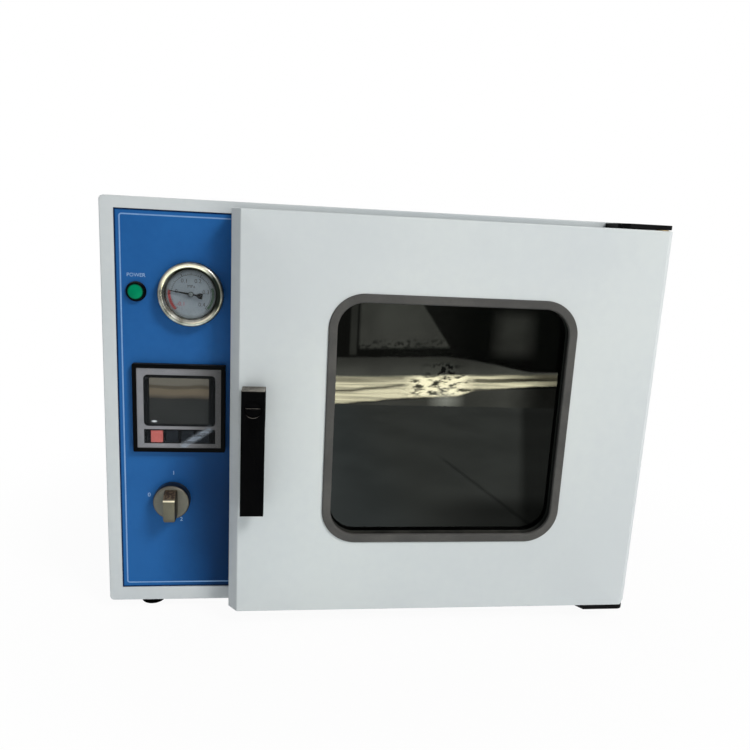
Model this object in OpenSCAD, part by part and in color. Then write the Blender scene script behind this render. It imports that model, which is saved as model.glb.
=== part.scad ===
// Bench vacuum drying oven: welded cabinet, vacuum chamber with a silicone door seal,
// glazed door on pin hinges with a quarter-turn latch, and a control bay on the left.
// Cabinet frame: X to the right, Y to the rear, Z up, zero at the cabinet's lower left front corner.

/* [Cabinet] */
// Width of the instrument panel, from the cabinet's left side to the door
panel_w = 144; // [130:1:180]
// Margin between the door and the cabinet's right side
margin_right = 8; // [7:0.5:10]
// Margin between the door and the cabinet's underside
margin_bottom = 9; // [8:0.5:11]
// Margin between the door and the cabinet's top
margin_top = 7; // [6:0.5:10]
// Depth of the space behind the chamber
rear_space = 77; // [68:1:120]
// Thickness of the painted sheet
sheet_t = 1.5; // [1.2:0.1:2]
// Radius of the cabinet's four long edges
cab_edge_r = 5; // [4:0.5:8]
// Width of the folded front flange at the sides
frame_side = 15; // [13:0.5:17]
// Height of the folded front flange at the bottom
frame_bottom = 17; // [15:0.5:18]
// Height of the folded front flange at the top
frame_top = 13; // [11:0.5:15]
// Width of the folded rear flange
rear_flange = 14; // [12:0.5:18]
// How far the control bay reaches behind the door's left edge
bay_lap = 6; // [4:0.5:9]

/* [Feet] */
// Height of a rubber foot
foot_h = 15; // [12:1:20]
// Radius of a rubber foot
foot_r = 15; // [12:0.5:18]
// Distance of a foot's centre from the cabinet's side
foot_inset_x = 46; // [40:1:60]
// Distance of a foot's centre from the cabinet's front and rear
foot_inset_y = 30; // [26:1:45]

/* [Chamber] */
// Clear width of the chamber
chamber_w = 320; // [280:1:420]
// Clear height of the chamber
chamber_h = 300; // [260:1:400]
// Clear depth of the chamber
chamber_d = 320; // [280:1:420]
// Wall thickness of the chamber
chamber_wall = 3; // [2:0.5:4]
// Corner radius of the chamber
chamber_r = 20; // [15:1:30]
// Width of the flat ring round the chamber's mouth
mouth_ring = 23; // [22:0.5:24]
// Thickness of the heater pads on the chamber's walls
heater_t = 3; // [2:0.5:5]

/* [Shelves] */
// Height of the lower shelf over the chamber's floor
lower_shelf_z = 70; // [60:1:90]
// Height of the upper shelf over the chamber's floor
upper_shelf_z = 180; // [160:1:210]
// Thickness of a shelf's plate
shelf_t = 1.5; // [1:0.5:2.5]
// Height of a shelf's folded rim
shelf_rim = 10; // [8:1:14]
// Radius of the holes in a shelf
shelf_hole_r = 7; // [5:0.5:8]
// Holes across a shelf
shelf_cols = 7; // [5:1:8]
// Holes from front to rear on a shelf
shelf_rows = 6; // [4:1:7]

/* [Door] */
// How far the door reaches past the chamber at its left and right
door_lap_w = 89; // [82:0.5:110]
// How far the door reaches past the chamber at its top and bottom
door_lap_h = 82; // [72:0.5:100]
// Thickness of the door
door_t = 42; // [40:0.5:48]
// Gap between the closed door and the cabinet
door_gap = 4; // [3.5:0.1:5]
// Width of the bevel along the door's upright edges, seen from the front
bevel_w = 10.5; // [8:0.5:12]
// Depth of the bevel along the door's upright edges
bevel_d = 13; // [10:0.5:15]
// How far the window's upright edges lie inside the chamber's clear width
window_inset_w = 27.5; // [20:0.5:45]
// How far the window's top and bottom edges lie inside the chamber's clear height
window_inset_h = 14; // [10:0.5:40]
// How far the window's middle lies above the door's middle
window_rise = 2; // [0:0.5:5]
// Depth of the moulding's neck between the door's sheet and the outer glass
window_recess = 8; // [4:0.5:11]
// Corner radius of the window
window_r = 30; // [20:1:40]
// Width of the rubber moulding round the window
moulding_w = 10; // [8:0.5:12]
// How far the moulding stands proud of the door
moulding_proud = 2.4; // [1.5:0.1:4]
// Thickness of the outer glass
outer_glass_t = 5; // [4:0.5:8]
// Thickness of the inner pressure glass
inner_glass_t = 12; // [10:0.5:15]

/* [Hinge] */
// Distance of the hinge axis from the door's right edge
hinge_inset = 14; // [12:0.5:16]
// Distance of the hinge axis behind the door's front face
hinge_setback = 12; // [11:0.5:13]
// Radius of a hinge pin
hinge_pin_r = 4; // [3:0.25:5]
// Thickness of a hinge plate
hinge_plate_t = 5; // [4:0.5:6]
// Length of a hinge plate along the door
hinge_plate_w = 62; // [56:1:70]

/* [Latch and handle] */
// Distance of the latch axis from the door's left edge
latch_inset = 27.5; // [26:0.5:30]
// Height of the latch axis over the door's middle
latch_rise = 22; // [0:1:40]
// Radius of the latch shaft
latch_shaft_r = 5; // [4:0.25:6]
// Length of the cross bar on the latch shaft
latch_bar_len = 28; // [24:0.5:32]
// Width of the handle
handle_w = 25.5; // [22:0.5:30]
// Length of the handle
handle_len = 143; // [130:1:160]
// Distance from the latch axis to the handle's upper end
handle_top = 20.5; // [18:0.5:26]
// Height of the handle's front over the door
handle_proud = 28; // [24:0.5:34]
// Thickness of the handle's grip
grip_t = 11; // [9:0.5:12]

/* [Vacuum gauge] */
// Radius of the gauge's bezel
gauge_r = 36; // [34:0.5:38]
// Distance of the gauge's centre to the right of the panel's middle
gauge_right = 26; // [20:0.5:28]
// Distance of the gauge's centre below the cabinet's top
gauge_drop = 103.5; // [90:0.5:106]
// How far the gauge stands out of the panel
gauge_proud = 13; // [11:0.5:16]
// Depth of the gauge's case behind the panel
gauge_back = 30; // [28:1:40]
// Radius of the bezel's clear opening
gauge_open_r = 27.5; // [25:0.5:29]

/* [Controller] */
// Side of the square controller's bezel
ctl_side = 104; // [101:1:106]
// Distance of the controller's centre to the right of the panel's middle
ctl_right = 12.4; // [9:0.2:14]
// Height of the controller's centre over the cabinet's middle
ctl_rise = 4; // [0:0.5:14]
// Depth of the controller's housing behind the panel
ctl_depth = 72; // [60:1:90]
// Width of the display window
display_w = 80.5; // [76:0.5:83]
// Height of the display window
display_h = 60.5; // [56:0.5:61]
// Travel of a key
key_travel = 0.6; // [0.4:0.1:0.8]

/* [Lamp and switch] */
// Distance of the pilot lamp to the left of the panel's middle
lamp_left = 34.4; // [32:0.2:37]
// Distance of the pilot lamp below the cabinet's top
lamp_drop = 103; // [60:0.5:106]
// Radius of the pilot lamp's ring
lamp_r = 11.2; // [10:0.2:12.6]
// Radius of the pilot lamp's lens
lens_r = 8.9; // [8:0.1:9.4]
// Distance of the switch to the right of the panel's middle
switch_right = 3.5; // [-4:0.5:8]
// Height of the switch over the cabinet's underside
switch_z = 132; // [125:0.5:138]
// Radius of the switch knob
knob_r = 21; // [18:0.5:24]
// Width of the switch knob's wing
wing_w = 14.5; // [11:0.5:17]

/* [Vacuum line] */
// Outer radius of the vacuum pipes
pipe_r = 6; // [5:0.25:7]
// Wall thickness of the vacuum pipes
pipe_wall = 1.5; // [1:0.25:2]
// Bend radius of the vacuum pipes
bend_r = 16; // [14:0.5:18]
// Distance of the vacuum line below the gauge's centre
line_drop = 46.5; // [42:0.5:54]
// Distance of the vacuum valve from the bay's partition
vacuum_inset = 90; // [86:1:98]
// Distance of the vent valve from the bay's partition
vent_inset = 32; // [28:1:36]
// Outer radius of the hose nozzle
nozzle_r = 5; // [4:0.25:6.5]
// Length of the hose nozzle
nozzle_len = 26; // [20:1:32]
// Length of a valve lever
lever_len = 44; // [36:1:48]

/* [Running clearances] */
// Radial clearance of a pin or shaft in its bore
fit_gap = 0.05; // [0.03:0.01:0.08]
// Clearance between a moving piece and its neighbour
air_gap = 0.3; // [0.25:0.05:0.5]
// Clearance of a piece in a cut-out
cutout_gap = 0.5; // [0.3:0.1:0.8]

/* [Hidden] */
$fn = 48;

// Main sizes: the chamber carries the door, and the door and the panel carry the cabinet
door_w = chamber_w + 2 * door_lap_w;
door_h = chamber_h + 2 * door_lap_h;
cab_w = panel_w + door_w + margin_right;
cab_h = margin_bottom + door_h + margin_top;
cab_d = chamber_d + chamber_wall + rear_space;
bay_w = panel_w + bay_lap;
chamber_x = panel_w + door_w / 2;
chamber_z = margin_bottom + door_h / 2;
window_z = chamber_z + window_rise;
window_w = chamber_w - 2 * window_inset_w;
window_h = chamber_h - 2 * window_inset_h;

// Places on the panel
gauge_x = panel_w / 2 + gauge_right;
gauge_z = cab_h - gauge_drop;
ctl_x = panel_w / 2 + ctl_right;
ctl_z = cab_h / 2 + ctl_rise;
lamp_x = panel_w / 2 - lamp_left;
lamp_z = cab_h - lamp_drop;
switch_x = panel_w / 2 + switch_right;
line_z = gauge_z - line_drop;
vacuum_x = bay_w - vacuum_inset;
vent_x = bay_w - vent_inset;

// Levels along Y
panel_y0 = sheet_t;
panel_y1 = 2 * sheet_t;
door_back_y = -door_gap;
door_front_y = -door_gap - door_t;
handle_front_y = door_front_y - handle_proud;
rear_panel_y0 = cab_d - sheet_t;
rear_flange_y0 = cab_d - 2 * sheet_t;
valve_len = 24;
nozzle_thread = 4;
rear_end_y = cab_d + valve_len + nozzle_len;

// Whole part: X and Y centred on its box, Z from the underside of the feet
centre_y = (handle_front_y + rear_end_y) / 2;
origin_shift = [-cab_w / 2, -centre_y, foot_h];

// Cabinet
inner_top = cab_h - sheet_t;
inner_right = cab_w - sheet_t;
partition_t = 1.2;
partition_x1 = bay_w + partition_t;
rear_panel_w = cab_w - 2 * (sheet_t + cutout_gap);
rear_panel_h = cab_h - 2 * (sheet_t + cutout_gap);
screw_r = 2;
screw_head_r = 4;
screw_head_h = 2.4;
screw_len = 6;
screw_inset = sheet_t + cutout_gap + 7;
slot_len = 40;
slot_h = 4;
slot_pitch = 11;
slot_rows = 8;
slot_z = 150;
foot_bore_r = screw_head_r + 1;
foot_web = 4;
rear_screws = [
    for (x = [screw_inset, cab_w / 2, cab_w - screw_inset], z = [screw_inset, cab_h / 2, cab_h - screw_inset])
        if (x != cab_w / 2 || z != cab_h / 2) [x, z]
];
foot_places = [
    for (x = [foot_inset_x, cab_w - foot_inset_x], y = [foot_inset_y, cab_d - foot_inset_y]) [x, y]
];

// Chamber
chamber_back_y = chamber_d + chamber_wall;
mouth_front_y = -1;
mouth_w = chamber_w + 2 * (chamber_wall + mouth_ring);
mouth_h = chamber_h + 2 * (chamber_wall + mouth_ring);
mouth_r = chamber_r + chamber_wall + mouth_ring;
mouth_gap = 1;
keeper_w = 32;
keeper_gap = 5.5;
back_flange = door_lap_w - latch_inset - keeper_w / 2 - chamber_wall - mouth_ring - keeper_gap;
back_flange_t = 2;
groove_w = 10;
groove_d = 3;
seal_bulb_r = 3;
seal_r = chamber_r + chamber_wall + mouth_ring / 2;
seal_w = chamber_w + 2 * (chamber_wall + mouth_ring / 2);
seal_h = chamber_h + 2 * (chamber_wall + mouth_ring / 2);
insulation_y0 = panel_y1 + back_flange_t + cutout_gap;
insulation_gap = 2;
insulation_x0 = partition_x1 + cutout_gap;
insulation_x1 = inner_right - cutout_gap;
insulation_z0 = sheet_t + insulation_gap;
insulation_z1 = inner_top - cutout_gap;
pad_margin = 30;
chamber_left_x = chamber_x - chamber_w / 2;
chamber_floor_z = chamber_z - chamber_h / 2;

// Shelves
rail_ledge = 12;
rail_t = 1.5;
rail_drop = 14;
rail_y0 = 14;
rail_len = chamber_d - 2 * rail_y0;
shelf_w = chamber_w - 2 * (rail_t + 1.5);
shelf_d = rail_len - 12;
shelf_y0 = rail_y0 + 6;

// Door
door_x0 = chamber_x - door_w / 2;
door_x1 = chamber_x + door_w / 2;
door_z0 = chamber_z - door_h / 2;
door_z1 = chamber_z + door_h / 2;
skin_inner_y = door_front_y + sheet_t;
bevel_y = door_front_y + bevel_d;
side_turn = atan(bevel_w / bevel_d);
front_turn = 90 - side_turn;
moulding_lap = moulding_w * 0.6;
glass_lap = 14;
outer_glass_w = window_w + 2 * glass_lap;
outer_glass_h = window_h + 2 * glass_lap;
outer_glass_y0 = skin_inner_y + window_recess;
outer_glass_y1 = outer_glass_y0 + outer_glass_t;
inner_glass_w = seal_w + 30;
inner_glass_h = seal_h + 30;
inner_glass_r = 20;
inner_glass_y0 = door_back_y - inner_glass_t;
spacer_w = inner_glass_w + 20;
spacer_h = inner_glass_h + 20;

// Hinge
hinge_x = door_x1 - hinge_inset;
hinge_y = door_front_y + hinge_setback;
hinge_gap = 1;
bracket_leg_t = 2.5;
bracket_leg_h = 50;
bracket_leg_w = 36;
hinge_plate_x0 = door_x1 - 5 - hinge_plate_w;
bearing_h = 20;
bearing_half_w = 10;
bearing_front = 8;
bearing_flange_r = 7.5;

// Latch and handle
latch_x = door_x0 + latch_inset;
latch_z = chamber_z + latch_rise;
keeper_t = 2;
keeper_h = 52;
latch_slot_w = 14;
latch_slot_h = latch_bar_len + 6;
latch_bar_w = 9;
latch_bar_t = 5;
latch_bar_y = panel_y1 + keeper_t + 0.5;
bush_r = 9;
handle_z1 = latch_z + handle_top;
handle_z0 = handle_z1 - handle_len;
boss_y = door_front_y - 4;
recess_r = 9.7;
recess_d = 3;
shaft_socket_y = handle_front_y + recess_d + 4;

// Gauge
case_r = gauge_r - 4;
case_wall = 1.2;
gauge_front_y = panel_y0 - gauge_proud;
dial_y = gauge_front_y + 9;
dial_t = 0.6;
dial_r = case_r - case_wall;
needle_y = dial_y - 2.5;
needle_t = 0.6;
needle_len = gauge_open_r - 4;
needle_rest = 171;
spindle_r = 1;
glass_t = 2;
gauge_glass_y = gauge_front_y + 2.5;
case_back_y = panel_y1 + gauge_back;
socket_r = 6;
socket_front_y = dial_y + 16;
socket_end_y = case_back_y + 16;
bourdon_r = 19;
bourdon_tube_r = 3;

// Controller
ctl_lip = 4.7;
ctl_face_side = ctl_side - 2 * ctl_lip;
ctl_body_side = ctl_side - 12;
ctl_front_y = panel_y0 - 8;
ctl_face_y = ctl_front_y + 1.5;
ctl_face_t = 2;
ctl_body_y = ctl_face_y + ctl_face_t;
display_z = ctl_z + ctl_side / 2 - 12.4 - display_h / 2;
display_r = 5;
strip_h = 17;
strip_z = display_z - display_h / 2 - 3.9 - strip_h / 2;
strip_t = 1;
key_w = 13.4;
key_h = 14;
key_pitch = 17.2;
key_flange = 0.6;
key_stem_y = ctl_body_y + 5;
key_pocket_d = 5 + key_travel + air_gap;
display_x = ctl_x + 0.5;
clamp_w = 12;
clamp_t = 3;
clamp_len = 40;

// Lamp and switch
lamp_proud = 6;
lamp_back = 34;
lamp_hole_r = lamp_r - 1.6;
switch_side = 44;
switch_body_d = 52;
switch_shaft_r = 3;
knob_back_y = panel_y0 - 1;
knob_face_y = panel_y0 - 15.5;
wing_y = knob_face_y - 16;

// Vacuum line
pipe_bore = pipe_r - pipe_wall;
manifold_reach = 84;
manifold_y0 = chamber_d - manifold_reach;
manifold_d = 26;
manifold_h = 26;
manifold_x0 = vacuum_x - 14;
manifold_x1 = vent_x + 14;
port_y = manifold_y0 + manifold_d / 2;
gauge_rise = gauge_z - line_z;
gauge_bend_y = socket_end_y + 30;
valve_r = 9;
valve_hex_r = 11;
stem_r = 3;
stem_h = 9;
lever_t = 3;
lever_w = 10;
lever_z = line_z + valve_r + 4 + air_gap;

// Terminal strip and relay on the partition
terminal_reach = 100;
terminal_y = cab_d - terminal_reach;
terminal_z = 150;
terminal_len = 62;
terminal_out = 22;
terminal_h = 18;
relay_y = 150;
relay_z = 50;
relay_len = 70;
relay_h = 80;
relay_plate_t = 6;
relay_fin = 20;
relay_out = 28;
relay_body_z = 32;
relay_edge = 8;

// Power inlet
inlet_x = bay_w / 2;
inlet_z = 80;
inlet_w = 48;
inlet_h = 27;
inlet_flange_t = 3;
inlet_depth = 22;
socket_w = 24;
socket_h = 16.5;

// ---------- Shared shapes ----------

// Everything below is drawn in the cabinet frame and moved to the part's origin
module placed() { translate(origin_shift) children(); }

// Rectangle with round corners, centred
module round_rect(w, h, r) {
    square([w - 2 * r, h], center = true);
    square([w, h - 2 * r], center = true);
    for (sx = [-1, 1], sy = [-1, 1])
        translate([sx * (w / 2 - r), sy * (h / 2 - r)]) circle(r = r);
}

// Slot with round ends, lying along X or Z
module round_slot(len, h) {
    square([len - h, h], center = true);
    for (s = [-1, 1]) translate([s * (len - h) / 2, 0]) circle(r = h / 2);
}

// Front view outline given a thickness from y0 to y1
module upright(y0, y1) {
    translate([0, y1, 0]) rotate([90, 0, 0]) linear_extrude(y1 - y0) children();
}

// Side view outline (Y, Z) given a width from x0 to x1
module sideways(x0, x1) {
    translate([x0, 0, 0]) rotate([90, 0, 90]) linear_extrude(x1 - x0) children();
}

// Plan view outline (X, Y) given a height from z0 to z1
module level(z0, z1) {
    translate([0, 0, z0]) linear_extrude(z1 - z0) children();
}

// Box between two corners
module block(a, b) { translate(a) cube(b - a); }

// Round bar along Y
module bar_y(x, z, r, y0, y1) {
    translate([x, y0, z]) rotate([-90, 0, 0]) cylinder(r = r, h = y1 - y0);
}

// Round bar along X
module bar_x(y, z, r, x0, x1) {
    translate([x0, y, z]) rotate([0, 90, 0]) cylinder(r = r, h = x1 - x0);
}

// Round bar along Z
module bar_z(x, y, r, z0, z1) {
    translate([x, y, z0]) cylinder(r = r, h = z1 - z0);
}

// Profile turned about an axis along Y: profile X is the radius, profile Y points to the front
module turned_y(x, y, z) {
    translate([x, y, z]) rotate([90, 0, 0]) rotate_extrude() children();
}

// Profile carried round a rounded rectangle in the front view; profile X grows outwards from the
// path, profile Y points to the front
module carried_ring(w, h, r, y) {
    translate([0, y, 0]) rotate([90, 0, 0]) {
        for (q = [0 : 3]) {
            sx = (q == 0 || q == 3) ? 1 : -1;
            sy = (q < 2) ? 1 : -1;
            translate([sx * (w / 2 - r), sy * (h / 2 - r), 0])
                rotate([0, 0, 90 * q]) rotate_extrude(angle = 90) translate([r, 0]) children();
            side = (q % 2 == 0) ? h - 2 * r : w - 2 * r;
            reach = (q % 2 == 0) ? w / 2 : h / 2;
            rotate([0, 0, 90 * q]) translate([reach, side / 2, 0])
                rotate([90, 0, 0]) linear_extrude(side) children();
        }
    }
}

// Pan head screw along +Y, its head's seat at y
module pan_screw(x, y, z) {
    bar_y(x, z, screw_r, y, y + screw_len);
    difference() {
        turned_y(x, y, z)
            polygon([[0, 0], [screw_head_r, 0], [screw_head_r, screw_head_h * 0.4],
                     [screw_head_r * 0.7, screw_head_h], [0, screw_head_h]]);
        for (a = [0, 90])
            translate([x, y - screw_head_h, z]) rotate([0, a, 0])
                cube([screw_head_r, 2, 0.9], center = true);
    }
}

// ---------- Cabinet ----------

// Inside outline of the shell in the front view, and the part of it from x0 to x1
module shell_inside() {
    translate([cab_w / 2, cab_h / 2])
        round_rect(cab_w - 2 * sheet_t, cab_h - 2 * sheet_t, cab_edge_r - sheet_t);
}

module shell_inside_from(x0, x1) {
    intersection() {
        shell_inside();
        translate([x0, 0]) square([x1 - x0, cab_h]);
    }
}

// Welded box of sheet: four sides with folded front and rear flanges
module outer_shell() {
    color("whitesmoke") placed() difference() {
        union() {
            upright(0, cab_d) difference() {
                translate([cab_w / 2, cab_h / 2]) round_rect(cab_w, cab_h, cab_edge_r);
                shell_inside();
            }
            upright(0, sheet_t) difference() {
                translate([cab_w / 2, cab_h / 2])
                    round_rect(cab_w - sheet_t, cab_h - sheet_t, cab_edge_r - sheet_t / 2);
                translate([frame_side, frame_bottom])
                    square([cab_w - 2 * frame_side, cab_h - frame_bottom - frame_top]);
            }
            upright(rear_flange_y0, rear_panel_y0) translate([cab_w / 2, cab_h / 2]) difference() {
                round_rect(cab_w - sheet_t, cab_h - sheet_t, cab_edge_r - sheet_t / 2);
                square([cab_w - 2 * rear_flange, cab_h - 2 * rear_flange], center = true);
            }
        }
        for (p = rear_screws) bar_y(p[0], p[1], screw_r, rear_flange_y0 - 1, rear_panel_y0 + 1);
        for (p = foot_places) bar_z(p[0], p[1], screw_r, -1, sheet_t + 1);
    }
}

// Removable rear cover with vent slots behind the control bay
module rear_panel() {
    color("whitesmoke") placed() difference() {
        upright(rear_panel_y0, cab_d) difference() {
            translate([cab_w / 2, cab_h / 2]) round_rect(rear_panel_w, rear_panel_h, cab_edge_r - sheet_t);
            for (i = [0 : slot_rows - 1])
                translate([bay_w / 2, slot_z + i * slot_pitch]) round_slot(slot_len, slot_h);
            translate([inlet_x, inlet_z]) square([inlet_w - 20, inlet_h - 5], center = true);
        }
        for (p = rear_screws) bar_y(p[0], p[1], screw_r, rear_panel_y0 - 1, cab_d + 1);
        for (x = [vacuum_x, vent_x]) bar_y(x, line_z, pipe_r + cutout_gap, rear_panel_y0 - 1, cab_d + 1);
    }
}

// Equal M4 pan head screws: rear cover, hinge brackets and feet
module panel_screws() {
    color("silver") placed() {
        for (p = rear_screws)
            translate([p[0], cab_d, p[1]]) rotate([0, 0, 180]) pan_screw(0, 0, 0);
        for (p = foot_places)
            translate([p[0], p[1], -foot_web]) rotate([90, 0, 0]) pan_screw(0, 0, 0);
    }
}

// Painted front sheet behind the door, with the chamber's opening and the latch slot
module front_fascia() {
    color("whitesmoke") placed() upright(panel_y0, panel_y1) difference() {
        shell_inside_from(bay_w, inner_right);
        translate([chamber_x, chamber_z])
            round_rect(mouth_w + 2 * mouth_gap, mouth_h + 2 * mouth_gap, mouth_r + mouth_gap);
        translate([latch_x, latch_z]) square([latch_slot_w, latch_slot_h], center = true);
    }
}

// Blue instrument panel, with cut-outs for what it carries
module control_panel() {
    color("steelblue") placed() upright(panel_y0, panel_y1) difference() {
        shell_inside_from(sheet_t, bay_w);
        translate([gauge_x, gauge_z]) circle(r = case_r + cutout_gap);
        translate([ctl_x, ctl_z]) square(ctl_body_side + 2 * cutout_gap, center = true);
        translate([lamp_x, lamp_z]) circle(r = lamp_hole_r + cutout_gap / 2);
        translate([switch_x, switch_z]) circle(r = switch_shaft_r + 2);
    }
}

// Sheet wall between the control bay and the insulation
module bay_partition() {
    color("darkgray") placed() difference() {
        block([bay_w, panel_y1, sheet_t], [partition_x1, rear_flange_y0, inner_top]);
        bar_x(port_y, line_z, pipe_r + cutout_gap, bay_w - 1, partition_x1 + 1);
        bar_x(port_y, probe_z, probe_r + cutout_gap, bay_w - 1, partition_x1 + 1);
    }
}

module feet() {
    color("dimgray") placed() for (p = foot_places) difference() {
        translate([p[0], p[1], -foot_h]) rotate_extrude()
            polygon([[0, 0], [foot_r - 2, 0], [foot_r - 1, 1], [foot_r, foot_h], [0, foot_h]]);
        bar_z(p[0], p[1], foot_bore_r, -foot_h - 1, -foot_web);
        bar_z(p[0], p[1], screw_r, -foot_h, 1);
    }
}

// ---------- Chamber ----------

probe_drop = 40;
probe_z = chamber_z - probe_drop;
probe_r = 3;
probe_reach = 45;
probe_tail = 24;
gland_r = 8;
gland_len = 7;

// Stainless box, open to the front, with a grooved ring round its mouth
module inner_chamber() {
    color("lightgray") placed() difference() {
        translate([chamber_x, 0, chamber_z]) union() {
            upright(mouth_front_y, chamber_back_y)
                round_rect(chamber_w + 2 * chamber_wall, chamber_h + 2 * chamber_wall, chamber_r + chamber_wall);
            upright(mouth_front_y, panel_y1 + back_flange_t) round_rect(mouth_w, mouth_h, mouth_r);
            upright(panel_y1, panel_y1 + back_flange_t)
                round_rect(mouth_w + 2 * back_flange, mouth_h + 2 * back_flange, mouth_r);
        }
        translate([chamber_x, 0, chamber_z]) upright(mouth_front_y - 1, chamber_d)
            round_rect(chamber_w, chamber_h, chamber_r);
        translate([chamber_x, 0, chamber_z]) upright(mouth_front_y - 1, mouth_front_y + groove_d) difference() {
            round_rect(seal_w + groove_w, seal_h + groove_w, seal_r + groove_w / 2);
            round_rect(seal_w - groove_w, seal_h - groove_w, seal_r - groove_w / 2);
        }
        bar_x(port_y, line_z, pipe_bore, chamber_left_x - chamber_wall - 1, chamber_left_x + 1);
        bar_x(port_y, probe_z, probe_r, chamber_left_x - chamber_wall - 1, chamber_left_x + 1);
    }
}

// Silicone seal: a foot in the groove and a round bulb that the door's glass presses on
module door_seal() {
    bulb_y = door_gap + mouth_front_y + groove_d - air_gap - seal_bulb_r;
    color("indianred") placed() translate([chamber_x, 0, chamber_z])
        carried_ring(seal_w, seal_h, seal_r, mouth_front_y + groove_d) {
            union() {
                translate([-groove_w / 2, 0]) square([groove_w, groove_d]);
                translate([-seal_bulb_r, 0]) square([2 * seal_bulb_r, bulb_y]);
                intersection() {
                    translate([0, bulb_y]) circle(r = seal_bulb_r);
                    translate([-seal_bulb_r, bulb_y / 2]) square(3 * seal_bulb_r);
                }
            }
        }
}

// Mineral wool round the chamber, cut clear of the pads, the pipe, the probe and the latch
module insulation() {
    color("khaki") placed() difference() {
        upright(insulation_y0, cab_d - screw_len - insulation_gap)
            translate([(insulation_x0 + insulation_x1) / 2, (insulation_z0 + insulation_z1) / 2])
                round_rect(insulation_x1 - insulation_x0, insulation_z1 - insulation_z0, cab_edge_r);
        block([chamber_left_x - chamber_wall - heater_t - cutout_gap, 0,
               chamber_floor_z - chamber_wall - heater_t - cutout_gap],
              [chamber_x + chamber_w / 2 + chamber_wall + heater_t + cutout_gap, chamber_back_y + cutout_gap,
               chamber_z + chamber_h / 2 + chamber_wall + heater_t + cutout_gap]);
        bar_x(port_y, line_z, pipe_r + cutout_gap, bay_w, chamber_x);
        bar_x(port_y, probe_z, probe_r + cutout_gap, bay_w, chamber_x);
        block([latch_x - keeper_w / 2 - 1, 0, latch_z - keeper_h / 2 - 1],
              [latch_x + keeper_w / 2 + 1, insulation_y0 + 20, latch_z + keeper_h / 2 + 1]);
    }
}

// Flat heater pads on the chamber's top, floor and sides
module heater_pads() {
    pad_w = chamber_w - 2 * pad_margin;
    pad_h = chamber_h - 2 * pad_margin;
    pad_y0 = panel_y1 + pad_margin;
    pad_y1 = chamber_back_y - pad_margin;
    out_x = chamber_w / 2 + chamber_wall;
    out_z = chamber_h / 2 + chamber_wall;
    color("darkorange") placed() translate([chamber_x, 0, chamber_z]) difference() {
        union() {
            block([-pad_w / 2, pad_y0, out_z], [pad_w / 2, pad_y1, out_z + heater_t]);
            block([-pad_w / 2, pad_y0, -out_z - heater_t], [pad_w / 2, pad_y1, -out_z]);
            block([out_x, pad_y0, -pad_h / 2], [out_x + heater_t, pad_y1, pad_h / 2]);
            block([-out_x - heater_t, pad_y0, -pad_h / 2], [-out_x, pad_y1, pad_h / 2]);
        }
        bar_x(port_y, line_z - chamber_z, pipe_r + cutout_gap, -out_x - heater_t - 1, -out_x + 1);
        bar_x(port_y, probe_z - chamber_z, probe_r + cutout_gap, -out_x - heater_t - 1, -out_x + 1);
    }
}

// Two folded ledges on each side wall of the chamber
module shelf_rails() {
    color("silver") placed() for (level_z = [lower_shelf_z, upper_shelf_z], side = [-1, 1])
        translate([chamber_x + side * chamber_w / 2, 0, chamber_floor_z + level_z])
            mirror([side > 0 ? 1 : 0, 0, 0]) {
                block([0, rail_y0, -rail_drop], [rail_t, rail_y0 + rail_len, rail_drop]);
                block([rail_t, rail_y0, -rail_t], [rail_ledge, rail_y0 + rail_len, 0]);
            }
}

// Perforated tray with a folded rim
module shelf(level_z) {
    pitch_x = shelf_w / (shelf_cols + 1);
    pitch_y = shelf_d / (shelf_rows + 1);
    placed() translate([chamber_x - shelf_w / 2, shelf_y0, chamber_floor_z + level_z]) {
        difference() {
            union() {
                cube([shelf_w, shelf_d, shelf_t]);
                cube([shelf_t, shelf_d, shelf_rim]);
                translate([shelf_w - shelf_t, 0, 0]) cube([shelf_t, shelf_d, shelf_rim]);
                cube([shelf_w, shelf_t, shelf_rim]);
                translate([0, shelf_d - shelf_t, 0]) cube([shelf_w, shelf_t, shelf_rim]);
            }
            for (i = [1 : shelf_cols], j = [1 : shelf_rows])
                bar_z(i * pitch_x, j * pitch_y, shelf_hole_r, -1, shelf_t + 1);
        }
    }
}

module lower_shelf() { color("silver") shelf(lower_shelf_z); }

module upper_shelf() { color("silver") shelf(upper_shelf_z); }

// Probe through the chamber's left wall, with its gland nut in the bay
module temperature_probe() {
    color("gray") placed() {
        bar_x(port_y, probe_z, probe_r, bay_w - probe_tail, chamber_left_x + probe_reach);
        translate([bay_w, port_y, probe_z]) rotate([0, -90, 0]) cylinder(r = gland_r, h = gland_len, $fn = 6);
    }
}

// ---------- Vacuum gauge ----------

// Steel cup through the panel with a flange on the panel's front
module gauge_case() {
    color("gray") placed() difference() {
        union() {
            bar_y(gauge_x, gauge_z, case_r, dial_y, case_back_y);
            bar_y(gauge_x, gauge_z, case_r + 2.5, panel_y0 - 1.5, panel_y0);
        }
        bar_y(gauge_x, gauge_z, case_r - case_wall, dial_y - 1, case_back_y - case_wall);
        bar_y(gauge_x, gauge_z, socket_r, case_back_y - case_wall - 1, case_back_y + 1);
    }
}

// Turned ring that holds the glass in front of the dial
module gauge_bezel() {
    front = gauge_proud;
    color("gold") placed() turned_y(gauge_x, panel_y0, gauge_z) difference() {
        union() {
            translate([gauge_open_r, 1.5]) square([gauge_r - gauge_open_r, front - 4.5]);
            translate([gauge_open_r + 2, 2]) square([gauge_r - gauge_open_r - 5, front - 2]);
            translate([gauge_r - 3, front - 3]) circle(r = 3);
            translate([gauge_open_r + 2, front - 2]) circle(r = 2);
        }
        translate([0, -1]) square([case_r, front - 9 + 1]);
        translate([0, -1]) square([case_r - case_wall, front - 2.5 + 1]);
        translate([0, -1]) square([case_r + 2.5, 2.5]);
    }
}

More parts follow.
